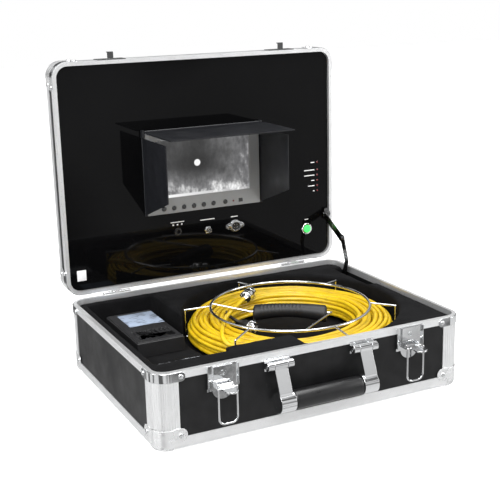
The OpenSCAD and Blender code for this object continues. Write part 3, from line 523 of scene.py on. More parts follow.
def piece(name, bm, body, stands_for=(), material=None, crisp=32):
    """A piece of bm's shape, with its normals outward; bm is freed."""
    bmesh.ops.recalc_face_normals(bm, faces=bm.faces)
    obj = placed(name, mesh_of(name, bm))
    shade_by_angle(obj.data, crisp)
    return settle(obj, body, stands_for, material)


def baked(obj):
    """Turns the object's modifiers into plain mesh."""
    bpy.context.view_layer.update()
    graph = bpy.context.evaluated_depsgraph_get()
    mesh = bpy.data.meshes.new_from_object(obj.evaluated_get(graph), depsgraph=graph)
    obj.modifiers.clear()
    old = obj.data
    obj.data = mesh
    mesh.name = old.name + "_made"
    if old.users == 0:
        bpy.data.meshes.remove(old)
    return obj


def merged_copy(node):
    """A copy of a node's mesh with its loose triangles joined and flat faces made whole."""
    bm = bmesh.new()
    bm.from_mesh(frame["nodes"][node].data)
    bmesh.ops.remove_doubles(bm, verts=bm.verts, dist=2e-6)
    joined = bm.copy()
    bmesh.ops.dissolve_limit(joined, angle_limit=math.radians(0.6), verts=joined.verts, edges=joined.edges)
    area, joined_area = (sum(f.calc_area() for f in b.faces) for b in (bm, joined))
    if abs(joined_area / area - 1) > 0.001:  # a ring-shaped face was closed over its hole
        joined.free()
        return bm
    bm.free()
    return joined


def softened(node, material, edge_mm=0.4, steps=2, limit=40):
    """A node's own shape with its sharp edges rounded over."""
    obj = placed(node + "_piece", mesh_of(node + "_piece", merged_copy(node)))
    bevel = obj.modifiers.new("Round", "BEVEL")
    bevel.width = edge_mm * MM
    bevel.segments = steps
    bevel.limit_method = "ANGLE"
    bevel.angle_limit = math.radians(limit)
    bevel.use_clamp_overlap = True
    bevel.miter_outer = "MITER_ARC"
    baked(obj)
    shade_by_angle(obj.data, 36)
    weigh = obj.modifiers.new("Even", "WEIGHTED_NORMAL")
    weigh.keep_sharp = True
    baked(obj)
    return settle(obj, frame["nodes"][node]["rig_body"], node, material)


def dressed(node, material):
    """A node that keeps its own mesh and gets a better finish."""
    obj = frame["nodes"][node]
    obj.data.materials.clear()
    obj.data.materials.append(material)
    return obj


def aimed(origin, aim, up=Vector((0, 0, 1))):
    """A frame at origin whose Z runs along aim."""
    z = aim.normalized()
    x = up.cross(z)
    if x.length < 1e-5:
        x = Vector((1, 0, 0)).cross(z)
    x.normalize()
    y = z.cross(x)
    m = Matrix((x, y, z)).transposed().to_4x4()
    m.translation = origin
    return m


def circle(bm, place, radius_mm, sides, height_mm=0.0):
    """A ring of points about the Z of place."""
    return [
        bm.verts.new(place @ mm(radius_mm * math.cos(a), radius_mm * math.sin(a), height_mm))
        for a in (2 * math.pi * k / sides for k in range(sides))
    ]


def skin(bm, rings):
    """Faces from each ring to the next; a ring of one point is a pole."""
    for low, high in zip(rings, rings[1:]):
        sides = max(len(low), len(high))
        for k in range(sides):
            n = (k + 1) % sides
            if len(low) == 1 and len(high) > 1:
                bm.faces.new((low[0], high[n], high[k]))
            elif len(high) == 1 and len(low) > 1:
                bm.faces.new((low[k], low[n], high[0]))
            elif len(low) > 1:
                bm.faces.new((low[k], low[n], high[n], high[k]))


def turned(bm, profile, place, sides=48):
    """Adds a solid of revolution; profile is (radius, height) pairs in mm, from axis to axis."""
    rings = []
    for r, h in profile:
        rings.append([bm.verts.new(place @ mm(0, 0, h))] if r < 1e-6 else circle(bm, place, r, sides, h))
    skin(bm, rings)
    return bm


def turning(name, profile, place, sides, body, stands_for, maker, crisp=40):
    """A piece that is one solid of revolution."""
    return piece(
        name, turned(bmesh.new(), profile, place, sides), body, stands_for, made(maker), crisp
    )


def block(bm, place, low, high, edge_mm=0.0):
    """Adds a box between two corners, in mm of the frame place, with its edges rounded."""
    corners = bmesh.ops.create_cube(bm, size=1)["verts"]
    for v in corners:
        v.co = Vector([low[k] + (v.co[k] + 0.5) * (high[k] - low[k]) for k in range(3)])
    if edge_mm:
        edges = list({e for v in corners for e in v.link_edges})
        rounded = bmesh.ops.bevel(
            bm, geom=edges, offset=edge_mm, segments=2, affect="EDGES", profile=0.5, clamp_overlap=True
        )["faces"]
        corners = list({v for f in rounded for v in f.verts} | {v for v in corners if v.is_valid})
    for v in corners:
        v.co = place @ (v.co * MM)
    return bm


def smooth_route(points, steps):
    """A smooth line through the points, steps to each stretch."""
    found = []
    last = len(points) - 1
    for i in range(last):
        a, b, c, d = (Vector(points[max(0, min(last, i + k))]) for k in (-1, 0, 1, 2))
        for k in range(steps):
            t = k / steps
            square, cube = (2 * a - 5 * b + 4 * c - d) * t * t, (3 * b - a - 3 * c + d) * t**3
            found.append(0.5 * (2 * b + (c - a) * t + square + cube))
    return found + [Vector(points[last])]


# ---- repeated detail by Geometry Nodes ----
def islands(node):
    """Middle and short axis of each separate solid of a node, pointing away from the node's middle."""
    bm = merged_copy(node)
    seen, found = set(), []
    middle = sum(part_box(node), Vector()) / 2
    for start in bm.verts:
        if start in seen:
            continue
        group, todo = [], [start]
        seen.add(start)
        while todo:
            v = todo.pop()
            group.append(v)
            for e in v.link_edges:
                o = e.other_vert(v)
                if o not in seen:
                    seen.add(o)
                    todo.append(o)
        centre = sum((v.co for v in group), Vector()) / len(group)
        found.append((centre, {f for v in group for f in v.link_faces}))
    places = []
    for centre, faces in found:
        flat = max(faces, key=lambda f: f.calc_area())
        axis = flat.normal.copy()
        if axis.dot(centre - middle) < 0:
            axis.negate()
        places.append((centre, axis))
    bm.free()
    return places


def size_group(name, *sizes):
    """A node group that takes and gives geometry, with a named input for each size."""
    tree = bpy.data.node_groups.new(name, "GeometryNodeTree")
    face = tree.interface
    face.new_socket("Geometry", in_out="INPUT", socket_type="NodeSocketGeometry")
    inputs = [face.new_socket(size, in_out="INPUT", socket_type="NodeSocketFloat") for size in sizes]
    face.new_socket("Geometry", in_out="OUTPUT", socket_type="NodeSocketGeometry")
    return tree, tree.nodes.new("NodeGroupInput").outputs, [i.identifier for i in inputs]


def end_group(tree, geometry, material):
    """Ends the group: instances made real, shaded smooth and given their material."""
    for kind in ("RealizeInstances", "SetShadeSmooth", "SetMaterial"):
        node = tree.nodes.new("GeometryNode" + kind)
        tree.links.new(geometry, node.inputs["Geometry"])
        geometry = node.outputs["Geometry"]
    node.inputs["Material"].default_value = material
    tree.links.new(geometry, tree.nodes.new("NodeGroupOutput").inputs["Geometry"])


def grown(obj, tree, inputs):
    """Runs the group on the object, its inputs set by identifier, and keeps the plain mesh."""
    mod = obj.modifiers.new("Grow", "NODES")
    mod.node_group = tree
    for key, value in inputs.items():
        mod[key] = value
    return baked(obj)


def stud_tree(name, material):
    """Puts a domed head on every point, facing along the point's facing attribute."""
    tree, given, sizes_of = size_group(name, "Head radius", "Head height")
    new, link = tree.nodes.new, tree.links.new
    ball = new("GeometryNodeMeshUVSphere")
    ball.inputs["Segments"].default_value = 20
    ball.inputs["Rings"].default_value = 10
    ball.inputs["Radius"].default_value = 1.0
    put = new("GeometryNodeInstanceOnPoints")
    facing = new("GeometryNodeInputNamedAttribute")
    facing.data_type = "FLOAT_VECTOR"
    facing.inputs["Name"].default_value = "facing"
    align = new("FunctionNodeAlignRotationToVector")
    align.axis = "Z"
    size = new("ShaderNodeCombineXYZ")
    link(given["Geometry"], put.inputs["Points"])
    link(ball.outputs["Mesh"], put.inputs["Instance"])
    link(facing.outputs["Attribute"], align.inputs["Vector"])
    link(align.outputs["Rotation"], put.inputs["Rotation"])
    for axis in "XY":
        link(given["Head radius"], size.inputs[axis])
    link(given["Head height"], size.inputs["Z"])
    link(size.outputs["Vector"], put.inputs["Scale"])
    end_group(tree, put.outputs["Instances"], material)
    return tree, sizes_of


def studs(name, places, radius_mm, height_mm, body, material, stands_for=()):
    """Rivets on the given (point, direction) places, as one plain mesh."""
    mesh = bpy.data.meshes.new(name)
    mesh.from_pydata([p for p, _ in places], [], [])
    facing = mesh.attributes.new("facing", "FLOAT_VECTOR", "POINT")
    facing.data.foreach_set("vector", [c for _, d in places for c in d])
    tree, (radius_id, height_id) = stud_tree(name + " heads", material)
    obj = grown(placed(name, mesh), tree, {radius_id: radius_mm * MM, height_id: height_mm * MM})
    return settle(obj, body, stands_for)


def wire_tree(name, material, closed):
    """Sweeps a round wire along every edge path, with its corners rounded."""
    tree, given, sizes_of = size_group(name, "Wire radius", "Corner radius")
    new, link = tree.nodes.new, tree.links.new
    path = new("GeometryNodeMeshToCurve")
    fillet = new("GeometryNodeFilletCurve")
    if hasattr(fillet, "mode"):
        fillet.mode = "POLY"
    fillet.inputs["Count"].default_value = 6
    fillet.inputs["Limit Radius"].default_value = True
    ring = new("GeometryNodeCurvePrimitiveCircle")
    ring.inputs["Resolution"].default_value = 14
    sweep = new("GeometryNodeCurveToMesh")
    sweep.inputs["Fill Caps"].default_value = not closed
    link(given["Geometry"], path.inputs["Mesh"])
    link(path.outputs["Curve"], fillet.inputs["Curve"])
    link(given["Corner radius"], fillet.inputs["Radius"])
    link(given["Wire radius"], ring.inputs["Radius"])
    link(fillet.outputs["Curve"], sweep.inputs["Curve"])
    link(ring.outputs["Curve"], sweep.inputs["Profile Curve"])
    end_group(tree, sweep.outputs["Mesh"], material)
    return tree, sizes_of


def wires(name, paths, wire_mm, corner_mm, body, material, closed=False):
    """Bent wires along the given point lists, as one plain mesh."""
    points, edges = [], []
    for path in paths:
        first = len(points)
        points += [tuple(p) for p in path]
        edges += [(first + k, first + k + 1) for k in range(len(path) - 1)]
        if closed:
            edges.append((len(points) - 1, first))
    mesh = bpy.data.meshes.new(name)
    mesh.from_pydata(points, edges, [])
    tree, (thick_id, corner_id) = wire_tree(name + " wire", material, closed)
    obj = grown(placed(name, mesh), tree, {thick_id: wire_mm / 2 * MM, corner_id: corner_mm * MM})
    bm = bmesh.new()
    bm.from_mesh(obj.data)
    bmesh.ops.recalc_face_normals(bm, faces=bm.faces)
    bm.to_mesh(obj.data)
    bm.free()
    return settle(obj, body)


# ---- stage ----
def lamp(name, place, target, width, height, power):
    light = bpy.data.lights.new(name, "AREA")
    light.shape = "RECTANGLE"
    light.size, light.size_y = width, height
    light.energy = power
    place = Vector(place)
    placed(name, light).matrix_world = aimed(place, place - Vector(target))


class CASE_OT_stage(bpy.types.Operator):
    """Sets up the camera, the floor, the studio lights and the surroundings."""

    bl_idname = "inspection_case.stage"
    bl_label = "Camera, floor and lights"

    def execute(self, context):
        scene = context.scene
        data = bpy.data.cameras.new("Camera")
        data.lens, data.sensor_width = 72.178, 36.0
        data.clip_start, data.clip_end = 0.05, 30.0
        camera = scene.camera = placed("Camera", data)
        back = Vector((-0.4280, -0.8665, 0.2569)).normalized()
        right = Vector((0, 0, 1)).cross(back).normalized()
        roll = math.radians(-1.381)
        right = math.cos(roll) * right + math.sin(roll) * back.cross(right)
        turn = Matrix((right, back.cross(right), back)).transposed().to_4x4()
        turn.translation = mm(-606.0, -1203.1, 543.5)
        camera.matrix_world = turn

        bm = bmesh.new()
        bmesh.ops.create_grid(bm, x_segments=8, y_segments=8, size=6.0)
        floor = placed("floor", mesh_of("floor", bm))
        floor.location.z = CAD_BOX[0][2] - 0.0005
        white = finish(
            "White floor", (0.93, 0.93, 0.93), 0.9,
            Emission_Color=(1, 1, 1, 1), Emission_Strength=sizes().floor_glow,
        )[0]
        floor.data.materials.append(white)
        floor.visible_glossy = False

        world = bpy.data.worlds.new("Studio")
        scene.world = world
        world.use_nodes = True
        tree = world.node_tree
        background = tree.nodes["Background"]
        path = tree.nodes.new("ShaderNodeLightPath")
        ray = tree.nodes.new("ShaderNodeTexCoord")
        split = tree.nodes.new("ShaderNodeSeparateXYZ")
        tree.links.new(ray.outputs["Generated"], split.inputs[0])
        # greys from straight down to straight up, with a dark band at the horizon
        greys = {0.0: 0.8, 0.46: 0.72, 0.5: 0.3, 0.56: 0.22, 0.66: 0.7, 1.0: 0.95}
        rise = between(tree, split.outputs["Z"], 0, 1, (-1, 1))
        room = shades(tree, rise, [(at, (grey,) * 3) for at, grey in greys.items()])
        # dark cloths hung round the room, which give bright metal its contrast
        cloth = between(tree, noise_of(tree, ray.outputs["Generated"], 2.4, 1), 0.15, 1.0, (0.42, 0.48))
        hung = tree.nodes.new("ShaderNodeMix")
        hung.data_type = "RGBA"
        hung.blend_type = "MULTIPLY"
        hung.inputs["Factor"].default_value = 1.0
        tree.links.new(room, hung.inputs["A"])
        tree.links.new(cloth, hung.inputs["B"])
        mix = tree.nodes.new("ShaderNodeMix")
        mix.data_type = "RGBA"
        tree.links.new(path.outputs["Is Camera Ray"], mix.inputs["Factor"])
        tree.links.new(hung.outputs["Result"], mix.inputs["A"])
        mix.inputs["B"].default_value = (1, 1, 1, 1)
        tree.links.new(mix.outputs["Result"], background.inputs["Color"])
        background.inputs["Strength"].default_value = 1.0

        power = sizes().lamp_power
        lamp("Key softbox", (-1.2, -1.5, 1.9), (0, 0, 0.15), 1.2, 1.2, 46 * power)
        lamp("Top softbox", (0.3, -0.1, 2.1), (0, 0, 0.1), 1.6, 1.2, 34 * power)
        lamp("Side softbox", (1.9, -1.1, 0.9), (0, 0, 0.15), 0.8, 1.4, 18 * power)
        lamp("Left strip", (-1.9, -0.1, 0.8), (0, 0, 0.15), 0.5, 1.4, 14 * power)
        scene.view_settings.view_transform = "Standard"
        return {"FINISHED"}


# ---- cords ----
# turns, height, first and last radius of the push cable's layers, mm
CABLE_LAYERS = [
    (9, 0.0, 94.0, 144.5), (8, 5.3, 143.0, 95.0), (9, 10.6, 94.0, 144.5), (7, 15.9, 142.0, 97.0),
    (6, 21.0, 99.0, 144.0),
]


def eased(t):
    return t * t * (3 - 2 * t)


def coil_route():
    """The push cable's turns: five layers wound clockwise, the last one outwards to the loose end."""
    d = sizes()
    middle = Vector((REEL_CENTRE.x, REEL_CENTRE.y, COIL_LOW.z + 0.0032))
    layers = CABLE_LAYERS
    per_turn = int(d.points_per_turn)
    total = sum(layer[0] for layer in layers)
    end_angle = math.atan2(TAIL_ROUTE[0][1], TAIL_ROUTE[0][0])
    points = []
    done = 0.0
    for k, (turns, height, r_from, r_to) in enumerate(layers):
        steps = turns * per_turn
        last = k == len(layers) - 1
        for i in range(steps + (1 if last else 0)):
            t = i / steps
            turn = done + t * turns
            angle = end_angle + (total - turn) * 2 * math.pi
            # each turn keeps close to one radius, and climbs to the next over a short crossing
            place = t * turns
            whole = math.floor(place)
            part = eased(min(1.0, max(0.0, (place - whole - 0.72) / 0.28)))
            share = (whole + part) / turns if last else min(1.0, (whole + part) / (turns - 1))
            r = r_from + (r_to - r_from) * share
            z = height
            if not last and turns * (1 - t) < 0.3:
                rise = eased(1 - turns * (1 - t) / 0.3)
                z += (layers[k + 1][1] - height) * rise
                r += (layers[k + 1][2] - r) * rise
            calm = min(1.0, (total - turn) / 0.35)
            loose = d.cable_looseness * (0.75 + 0.5 * (k >= 3)) * calm
            seed = Vector((math.cos(angle) * 1.25, math.sin(angle) * 1.25, turn * 0.83 + 3.1))
            fine = Vector((math.cos(angle) * 3.4, math.sin(angle) * 3.4, turn * 0.83 + 11.7))
            r += loose * (2.9 * noise.noise(seed) + 1.1 * noise.noise(fine))
            z += calm * (1.7 * noise.noise(seed + Vector((9, 4, 2))) + 0.8 * noise.noise(fine))
            r = min(146.0, max(92.5, r))
            points.append(middle + mm(r * math.cos(angle), r * math.sin(angle), max(0.0, z)))
    return points


def cord_curve(name, points, diameter, material):
    data = bpy.data.curves.new(name, "CURVE")
    data.dimensions = "3D"
    data.bevel_depth = diameter / 2
    data.bevel_resolution = 3
    data.use_fill_caps = True
    spline = data.splines.new("POLY")
    spline.points.add(len(points) - 1)
    for point, at in zip(spline.points, points):
        point.co = (*at, 1)
    spline.use_smooth = True
    data.materials.append(material)
    return placed(name, data)


def sleeve_on(name, points, radius_mm, material, sides=28):
    """A tight sleeve along a stretch of cable, closed at both ends."""
    bm = bmesh.new()
    rings = []
    for i, p in enumerate(points):
        ahead = points[min(i + 1, len(points) - 1)] - points[max(i - 1, 0)]
        rings.append(circle(bm, aimed(p, ahead), radius_mm, sides))
    skin(bm, rings)
    for end in (rings[0], rings[-1]):
        bm.faces.new(end)
    return piece(name, bm, "case", (), material)


class CASE_OT_push_cable(bpy.types.Operator):
    """Winds the push cable, leads its end to the camera head and makes the head."""

    bl_idname = "inspection_case.push_cable"
    bl_label = "Push cable and camera head"

    def execute(self, context):
        turns = coil_route()
        tail = [from_reel(p) for p in smooth_route(TAIL_ROUTE, 6)]
        route = turns + tail[1:]
        cable = cord_curve("push_cable", route, sizes().cable_diameter, made(cable_jacket))
        settle(cable, "case", ("push_cable_coil", "push_cable_tail"))

        put = aimed(from_reel(TAIL_ROUTE[-1]), HEAD_AIM)
        shape = [
            (0, -0.5), (3.5, -0.5), (4.0, 0), (4.3, 1.2), (6.6, 5.6), (7.3, 6.4), (8.6, 6.8), (9.0, 7.4),
            (9.0, 11.5), (8.7, 11.9), (8.7, 12.6), (9.0, 13.0), (9.0, 19.2), (8.4, 19.6), (8.4, 22.6),
            (9.0, 23.0), (9.0, 30.6), (8.5, 31.5), (7.0, 32.0), (6.6, 31.6), (6.4, 30.6), (0, 30.6),
        ]
        head = turning("camera_head_barrel", shape, put, 56, "case", "camera_head", chrome)
        shape = [(8.2, 19.7), (9.15, 20.0), (9.35, 21.1), (9.15, 22.2), (8.2, 22.5), (8.2, 19.7)]
        seal = turning("camera_head_seal", shape, put, 48, "case", (), grip_foam, 60)
        shape = [(0, 30.2), (6.3, 30.2), (6.3, 30.9), (5.0, 31.35), (0, 31.6)]
        window = turning("camera_head_window", shape, put, 40, "case", (), lens_glass, 50)
        # a plain sleeve on one of the upper turns
        first = next(
            i for i in range(len(turns) - 2 * int(sizes().points_per_turn), len(turns))
            if turns[i].y < REEL_CENTRE.y - 0.12 and turns[i].x < REEL_CENTRE.x - 0.045
        )
        mark = sleeve_on("cable_mark_sleeve", turns[first : first + 4], 3.25, made(printed_white))
        return {"FINISHED"}


class CASE_OT_plug_lead(bpy.types.Operator):
    """Makes the reel's short lead and the screw plug on its end."""

    bl_idname = "inspection_case.plug_lead"
    bl_label = "Lead and plug"

    def execute(self, context):
        route = [from_reel(p) for p in smooth_route(LEAD_ROUTE, 6)]
        lead = cord_curve("plug_lead_cord", route, sizes().lead_diameter, made(black_plastic))
        settle(lead, "case", "plug_lead")
        put = aimed(from_reel(LEAD_ROUTE[-1]), PLUG_AIM)
        shape = [
            (0, -0.5), (3.0, -0.5), (4.0, 0), (4.6, 1.6), (4.3, 2.2), (5.2, 3.6), (4.9, 4.3), (5.8, 5.6),
            (6.3, 7), (6.5, 7.6), (6.5, 15), (0, 15),
        ]
        rear = turning(
            "cable_plug_rear", shape, put, 40, "case", "cable_plug", black_plastic
        )
        shape = [
            (6.0, 15.0), (7.4, 15.0), (7.9, 15.4), (7.9, 25.2), (7.5, 26.7), (6.6, 27), (6.0, 26.6),
            (6.0, 19.2), (0, 19.0), (0, 15.2), (6.0, 15.0),
        ]
        ring = turning("cable_plug_ring", shape, put, 48, "case", (), chrome)
        shape = [(0, 19), (5.2, 19), (5.2, 24.4), (4.8, 24.8), (0, 24.8)]
        core = turning("cable_plug_core", shape, put, 40, "case", (), printed_white)
        knurls = 40
        bm = bmesh.new()
        for k in range(knurls):
            turn = put @ Matrix.Rotation(2 * math.pi * k / knurls, 4, "Z")
            block(bm, turn, (7.85, -0.3, 16.4), (8.15, 0.3, 24.0))
        rim = piece("cable_plug_knurl", bm, "case", (), made(chrome), 30)
        return {"FINISHED"}


# ---- the case ----
class CASE_OT_shells(bpy.types.Operator):
    """Finishes the laminate shells of the tray and the lid."""

    bl_idname = "inspection_case.shells"
    bl_label = "Laminate shells"

    def execute(self, context):
        for node in ("base_shell", "lid_shell"):
            softened(node, made(laminate), 0.3, 2)
        return {"FINISHED"}


class CASE_OT_edge_alloys(bpy.types.Operator):
    """Makes the extruded alloy rims, rails and corner posts."""

    bl_idname = "inspection_case.edge_alloys"
    bl_label = "Alloy edges"

    def execute(self, context):
        edge_mm = sizes().edge_softness / MM * 0.6
        for node in (
            "base_rim_frame", "base_bottom_rails", "base_corner_posts", "lid_rim_frame", "lid_edge_rails",
        ):
            softened(node, made(brushed_alloy), edge_mm)
        return {"FINISHED"}


class CASE_OT_corner_caps(bpy.types.Operator):
    """Makes the pressed steel corners."""

    bl_idname = "inspection_case.corner_caps"
    bl_label = "Steel corners"

    def execute(self, context):
        # the rim clips start this far from the rims' meeting faces
        clip_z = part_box("base_rim_frame")[1].z - 13.5 * MM
        clip_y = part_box("lid_rim_frame")[0].y + 13.5 * MM
        for node in ("base_corner_caps", "lid_corner_caps"):
            caps = softened(node, made(corner_steel), sizes().edge_softness / MM, 3, 45)
            caps.data.materials.append(made(chrome))
            for face in caps.data.polygons:
                clip = face.center.z > clip_z if node == "base_corner_caps" else face.center.y < clip_y
                face.material_index = int(clip)
        return {"FINISHED"}


class CASE_OT_rivets(bpy.types.Operator):
    """Sets a domed rivet at every rivet hole of the tray and the lid."""

    bl_idname = "inspection_case.rivets"
    bl_label = "Rivets"

    def execute(self, context):
        d = sizes()
        for node, body in (("base_rivets", "case"), ("lid_rivets", "lid")):
            studs(
                node + "_heads", islands(node), d.rivet_radius / MM, d.rivet_height / MM,
                body, made(chrome), node,
            )
        return {"FINISHED"}


class CASE_OT_foam_tray(bpy.types.Operator):
    """Makes the cut foam block that fills the tray."""

    bl_idname = "inspection_case.foam_tray"
    bl_label = "Foam tray"

    def execute(self, context):
        bm = merged_copy("foam_insert")
        bmesh.ops.triangulate(bm, faces=bm.faces)
        foam = placed("foam_block", mesh_of("foam_block", bm))
        mesher = foam.modifiers.new("Even mesh", "REMESH")
        mesher.mode = "VOXEL"
        mesher.voxel_size = sizes().foam_mesh_size
        relax = foam.modifiers.new("Soft edges", "SMOOTH")
        relax.factor, relax.iterations = 0.5, 3
        baked(foam)
        for v in foam.data.vertices:
            at = Vector(v.co)
            x, y = noise.noise(at * 90), noise.noise(at * 90 + Vector((5, 5, 5)))
            v.co = at + mm(0.35 * x, 0.35 * y, 0.45 * noise.noise(at * 60))
        shade_by_angle(foam.data, 60)
        settle(foam, "case", "foam_insert", made(case_foam))
        return {"FINISHED"}


class CASE_OT_hardware(bpy.types.Operator):
    """Makes the hinges, lid stay, latches and the handle's brackets."""

    bl_idname = "inspection_case.hardware"
    bl_label = "Hinges, stay and latches"

    def execute(self, context):
        bright, edge_mm = made(chrome), sizes().hardware_softness / MM
        for node in (
            "base_hinge_leaves", "lid_hinge_leaves", "pivot_pins", "latch_plates", "handle_brackets",
            "latch_lever_left", "latch_lever_right", "handle_arms",
        ):
            softened(node, bright, edge_mm, 3, 35)
        # the catches and the stay's brackets and links get chrome darkened as a painted reflection of dark
        # surroundings
        for node in (
            "latch_catches", "stay_base_bracket", "stay_lid_bracket", "stay_lower_link", "stay_upper_link",
        ):
            softened(node, made(reflection_darkened_chrome), edge_mm, 3, 35)
        for node in ("latch_bail_left", "latch_bail_right"):
            softened(node, bright, 0.01, 1, 60)
        return {"FINISHED"}


class CASE_OT_handle_grip(bpy.types.Operator):
    """Makes the carrying handle's round grip."""

    bl_idname = "inspection_case.handle_grip"
    bl_label = "Handle grip"

    def execute(self, context):
        low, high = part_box("handle_grip")
        middle = (low + high) / 2
        length = (high.x - low.x) / MM
        r = (high.z - low.z) / 2 / MM
        put = aimed(Vector((low.x, middle.y, middle.z)), Vector((1, 0, 0)))
        end = [(0, 0), (r - 4, 0), (r - 1.2, 0.5), (r - 0.2, 2), (r, 3.6)]
        profile = end + [(radius, length - at) for radius, at in reversed(end)]
        body = frame["nodes"]["handle_grip"]["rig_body"]
        turning(
            "handle_grip_sleeve", profile, put, 56, body, "handle_grip", handle_rubber
        )
        return {"FINISHED"}


# ---- the reel ----
class CASE_OT_reel(bpy.types.Operator):
    """Makes the reel's wire frame and the foam sleeve on its arm."""

    bl_idname = "inspection_case.reel"
    bl_label = "Wire reel"

    def execute(self, context):
        softened("reel_frame", made(reel_wire), 0.01, 1, 60)
        low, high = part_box("reel_grip")
        middle = (low + high) / 2
        d = sizes()
        aim = Vector((math.cos(d.reel_grip_turn), math.sin(d.reel_grip_turn), 0))
        length, sides, stations = 106.0, 44, 110
        put = aimed(Vector((REEL_CENTRE.x, REEL_CENTRE.y, middle.z)) - aim * length / 2 * MM, aim)
        up = put.inverted().to_3x3() @ Vector((0, 0, 1))
        bm = bmesh.new()
        rings = []
        for i in range(stations + 1):
            t = i / stations
            far = abs(2 * t - 1)
            end = min(1.0, min(t, 1 - t) * length / 3.0)
            r = (9.6 + 2.6 * far**1.6 + 0.6 * (t > 0.5) * (2 * t - 1)) * (1 - 0.35 * (1 - end) ** 2.2)
            lift = 2.6 - 5.2 * far**2
            ring = []
            for k in range(sides):
                a = 2 * math.pi * k / sides
                way = Vector((math.cos(a), math.sin(a), 0))
                top = max(0.0, way.dot(up))
                wave = math.sin(2 * math.pi * t * length / 5.2)  # finger ribs, 5.2 mm apart
                rib = 0.55 * max(0.0, wave) * top if 0.08 < t < 0.66 else 0.0
                at = way * (r + rib) + up * lift + Vector((0, 0, t * length))
                ring.append(bm.verts.new(put @ (at * MM)))
            rings.append(ring)
        skin(bm, rings)
        for ring in (rings[0], rings[-1]):
            bm.faces.new(ring)
        sleeve = piece("reel_grip_sleeve", bm, "case", "reel_grip", made(grip_foam), 50)
        return {"FINISHED"}


# ---- tray pieces ----
class CASE_OT_power_adapter(bpy.types.Operator):
    """Makes the mains adapter and its plain label."""

    bl_idname = "inspection_case.power_adapter"
    bl_label = "Mains adapter"

    def execute(self, context):
        softened("power_adapter", made(black_plastic), 0.9, 3, 40)
        put = Matrix.Translation(Vector((-0.146, 0.086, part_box("power_adapter")[1].z)))
        bm = bmesh.new()
        block(bm, put, (-26, -27, -0.2), (26, 27, 0.15), 0.06)
        piece("adapter_label", bm, "case", (), made(label_film), 30)
        return {"FINISHED"}


class CASE_OT_accessory_pouch(bpy.types.Operator):
    """Makes the crumpled bag of spare parts in the tray's pocket."""

    bl_idname = "inspection_case.accessory_pouch"
    bl_label = "Bag of spare parts"

    def execute(self, context):
        low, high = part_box("accessory_pouch")
        middle, half = (low + high) / 2, (high - low) / 2
        bm = bmesh.new()
        bmesh.ops.create_grid(bm, x_segments=70, y_segments=44, size=1.0)
        top = list(bm.verts)
        for v in top:
            x, y = v.co.x, v.co.y
            edge = max(0.0, (1 - abs(x) ** 3.2) * (1 - abs(y) ** 3.2)) ** 0.45
            fold = noise.noise(Vector((x * 2.3, y * 1.7, 4.0)))
            crease = 1 - abs(noise.noise(Vector((x * 4.1 + fold, y * 3.3, 9.0)))) * 2.2
            v.co.z = edge * (0.48 + 0.35 * fold + 0.3 * crease)
        under = bmesh.ops.duplicate(bm, geom=list(bm.faces) + list(bm.edges) + top)["vert_map"]
        for v in top:
            twin = under[v]
            twin.co.z = -0.8 * max(0.0, (1 - abs(twin.co.x) ** 6) * (1 - abs(twin.co.y) ** 6)) ** 0.5
        bmesh.ops.remove_doubles(bm, verts=bm.verts, dist=1e-5)
        for v in bm.verts:
            v.co.z = max(-1.0, min(1.0, v.co.z))
            v.co = middle + v.co * half
        bag = piece("spare_parts_bag", bm, "case", "accessory_pouch", made(clear_film), 70)
        # spare parts inside: a spring and three rings
        parts = random.Random(7)
        rings = []
        for k in range(7):
            a = Vector((middle.x - 0.02 + 0.0022 * k, middle.y + 0.004, middle.z + 0.0005))
            around = (2 * math.pi * i / 16 for i in range(16))
            rings.append([a + mm(0, 3.2 * math.cos(t), 3.2 * math.sin(t)) for t in around])
        wires("spare_spring", rings, 0.9, 0.5, "case", made(chrome), closed=True)
        bm = bmesh.new()
        ring = [(1.6, 0), (4.2, 0), (4.6, 0.5), (4.6, 4.6), (4.2, 5.0), (1.6, 5.0), (1.6, 0)]
        for k in range(3):
            at = middle + Vector((0.004 + 0.011 * k, 0.007 * parts.random() - 0.006, -0.0035))
            turned(bm, ring, Matrix.Translation(at), 28)
        piece("spare_rings", bm, "case", (), made(chrome), 35)
        return {"FINISHED"}


# ---- the monitor and the panel ----
class CASE_OT_panel(bpy.types.Operator):
    """Finishes the gloss panel and adds its plain marks and sticker."""

    bl_idname = "inspection_case.panel"
    bl_label = "Gloss panel"

    def execute(self, context):
        dressed("control_panel", made(acrylic))
        white = made(printed_white)
        bm = bmesh.new()
        for v, width in zip(LED_ROWS, (3.0, 12.0, 6.0, 19.0, 19.0, 7.0)):
            right = LED_COLUMN_X - 5.0
            block(bm, PANEL, (right - width, v - 0.7, 0.0), (right, v + 0.7, 0.08))
        for (x, v), half, rise in zip(JACKS.values(), (11, 12, 6), (14.5, 16.5, 14.5)):
            block(bm, PANEL, (x - half, v + rise - 0.7, 0.0), (x + half, v + rise + 0.7, 0.08))
        x, v = JACKS["dc"]
        for dx in (-7, 0, 7):
            block(bm, PANEL, (x + dx - 1.2, v + 9.4, 0.0), (x + dx + 1.2, v + 11.6, 0.08))
        x, v = SWITCH
        block(bm, PANEL, (x - 4.0, v + 15.0, 0.0), (x + 3.0, v + 16.2, 0.08))
        piece("panel_marks", bm, "lid", (), white, 30)
        bm = bmesh.new()
        block(bm, PANEL, (-208, 20.0, 0.0), (-194, 36.0, 0.25), 0.1)
        piece("panel_sticker", bm, "lid", (), white, 30)
        return {"FINISHED"}


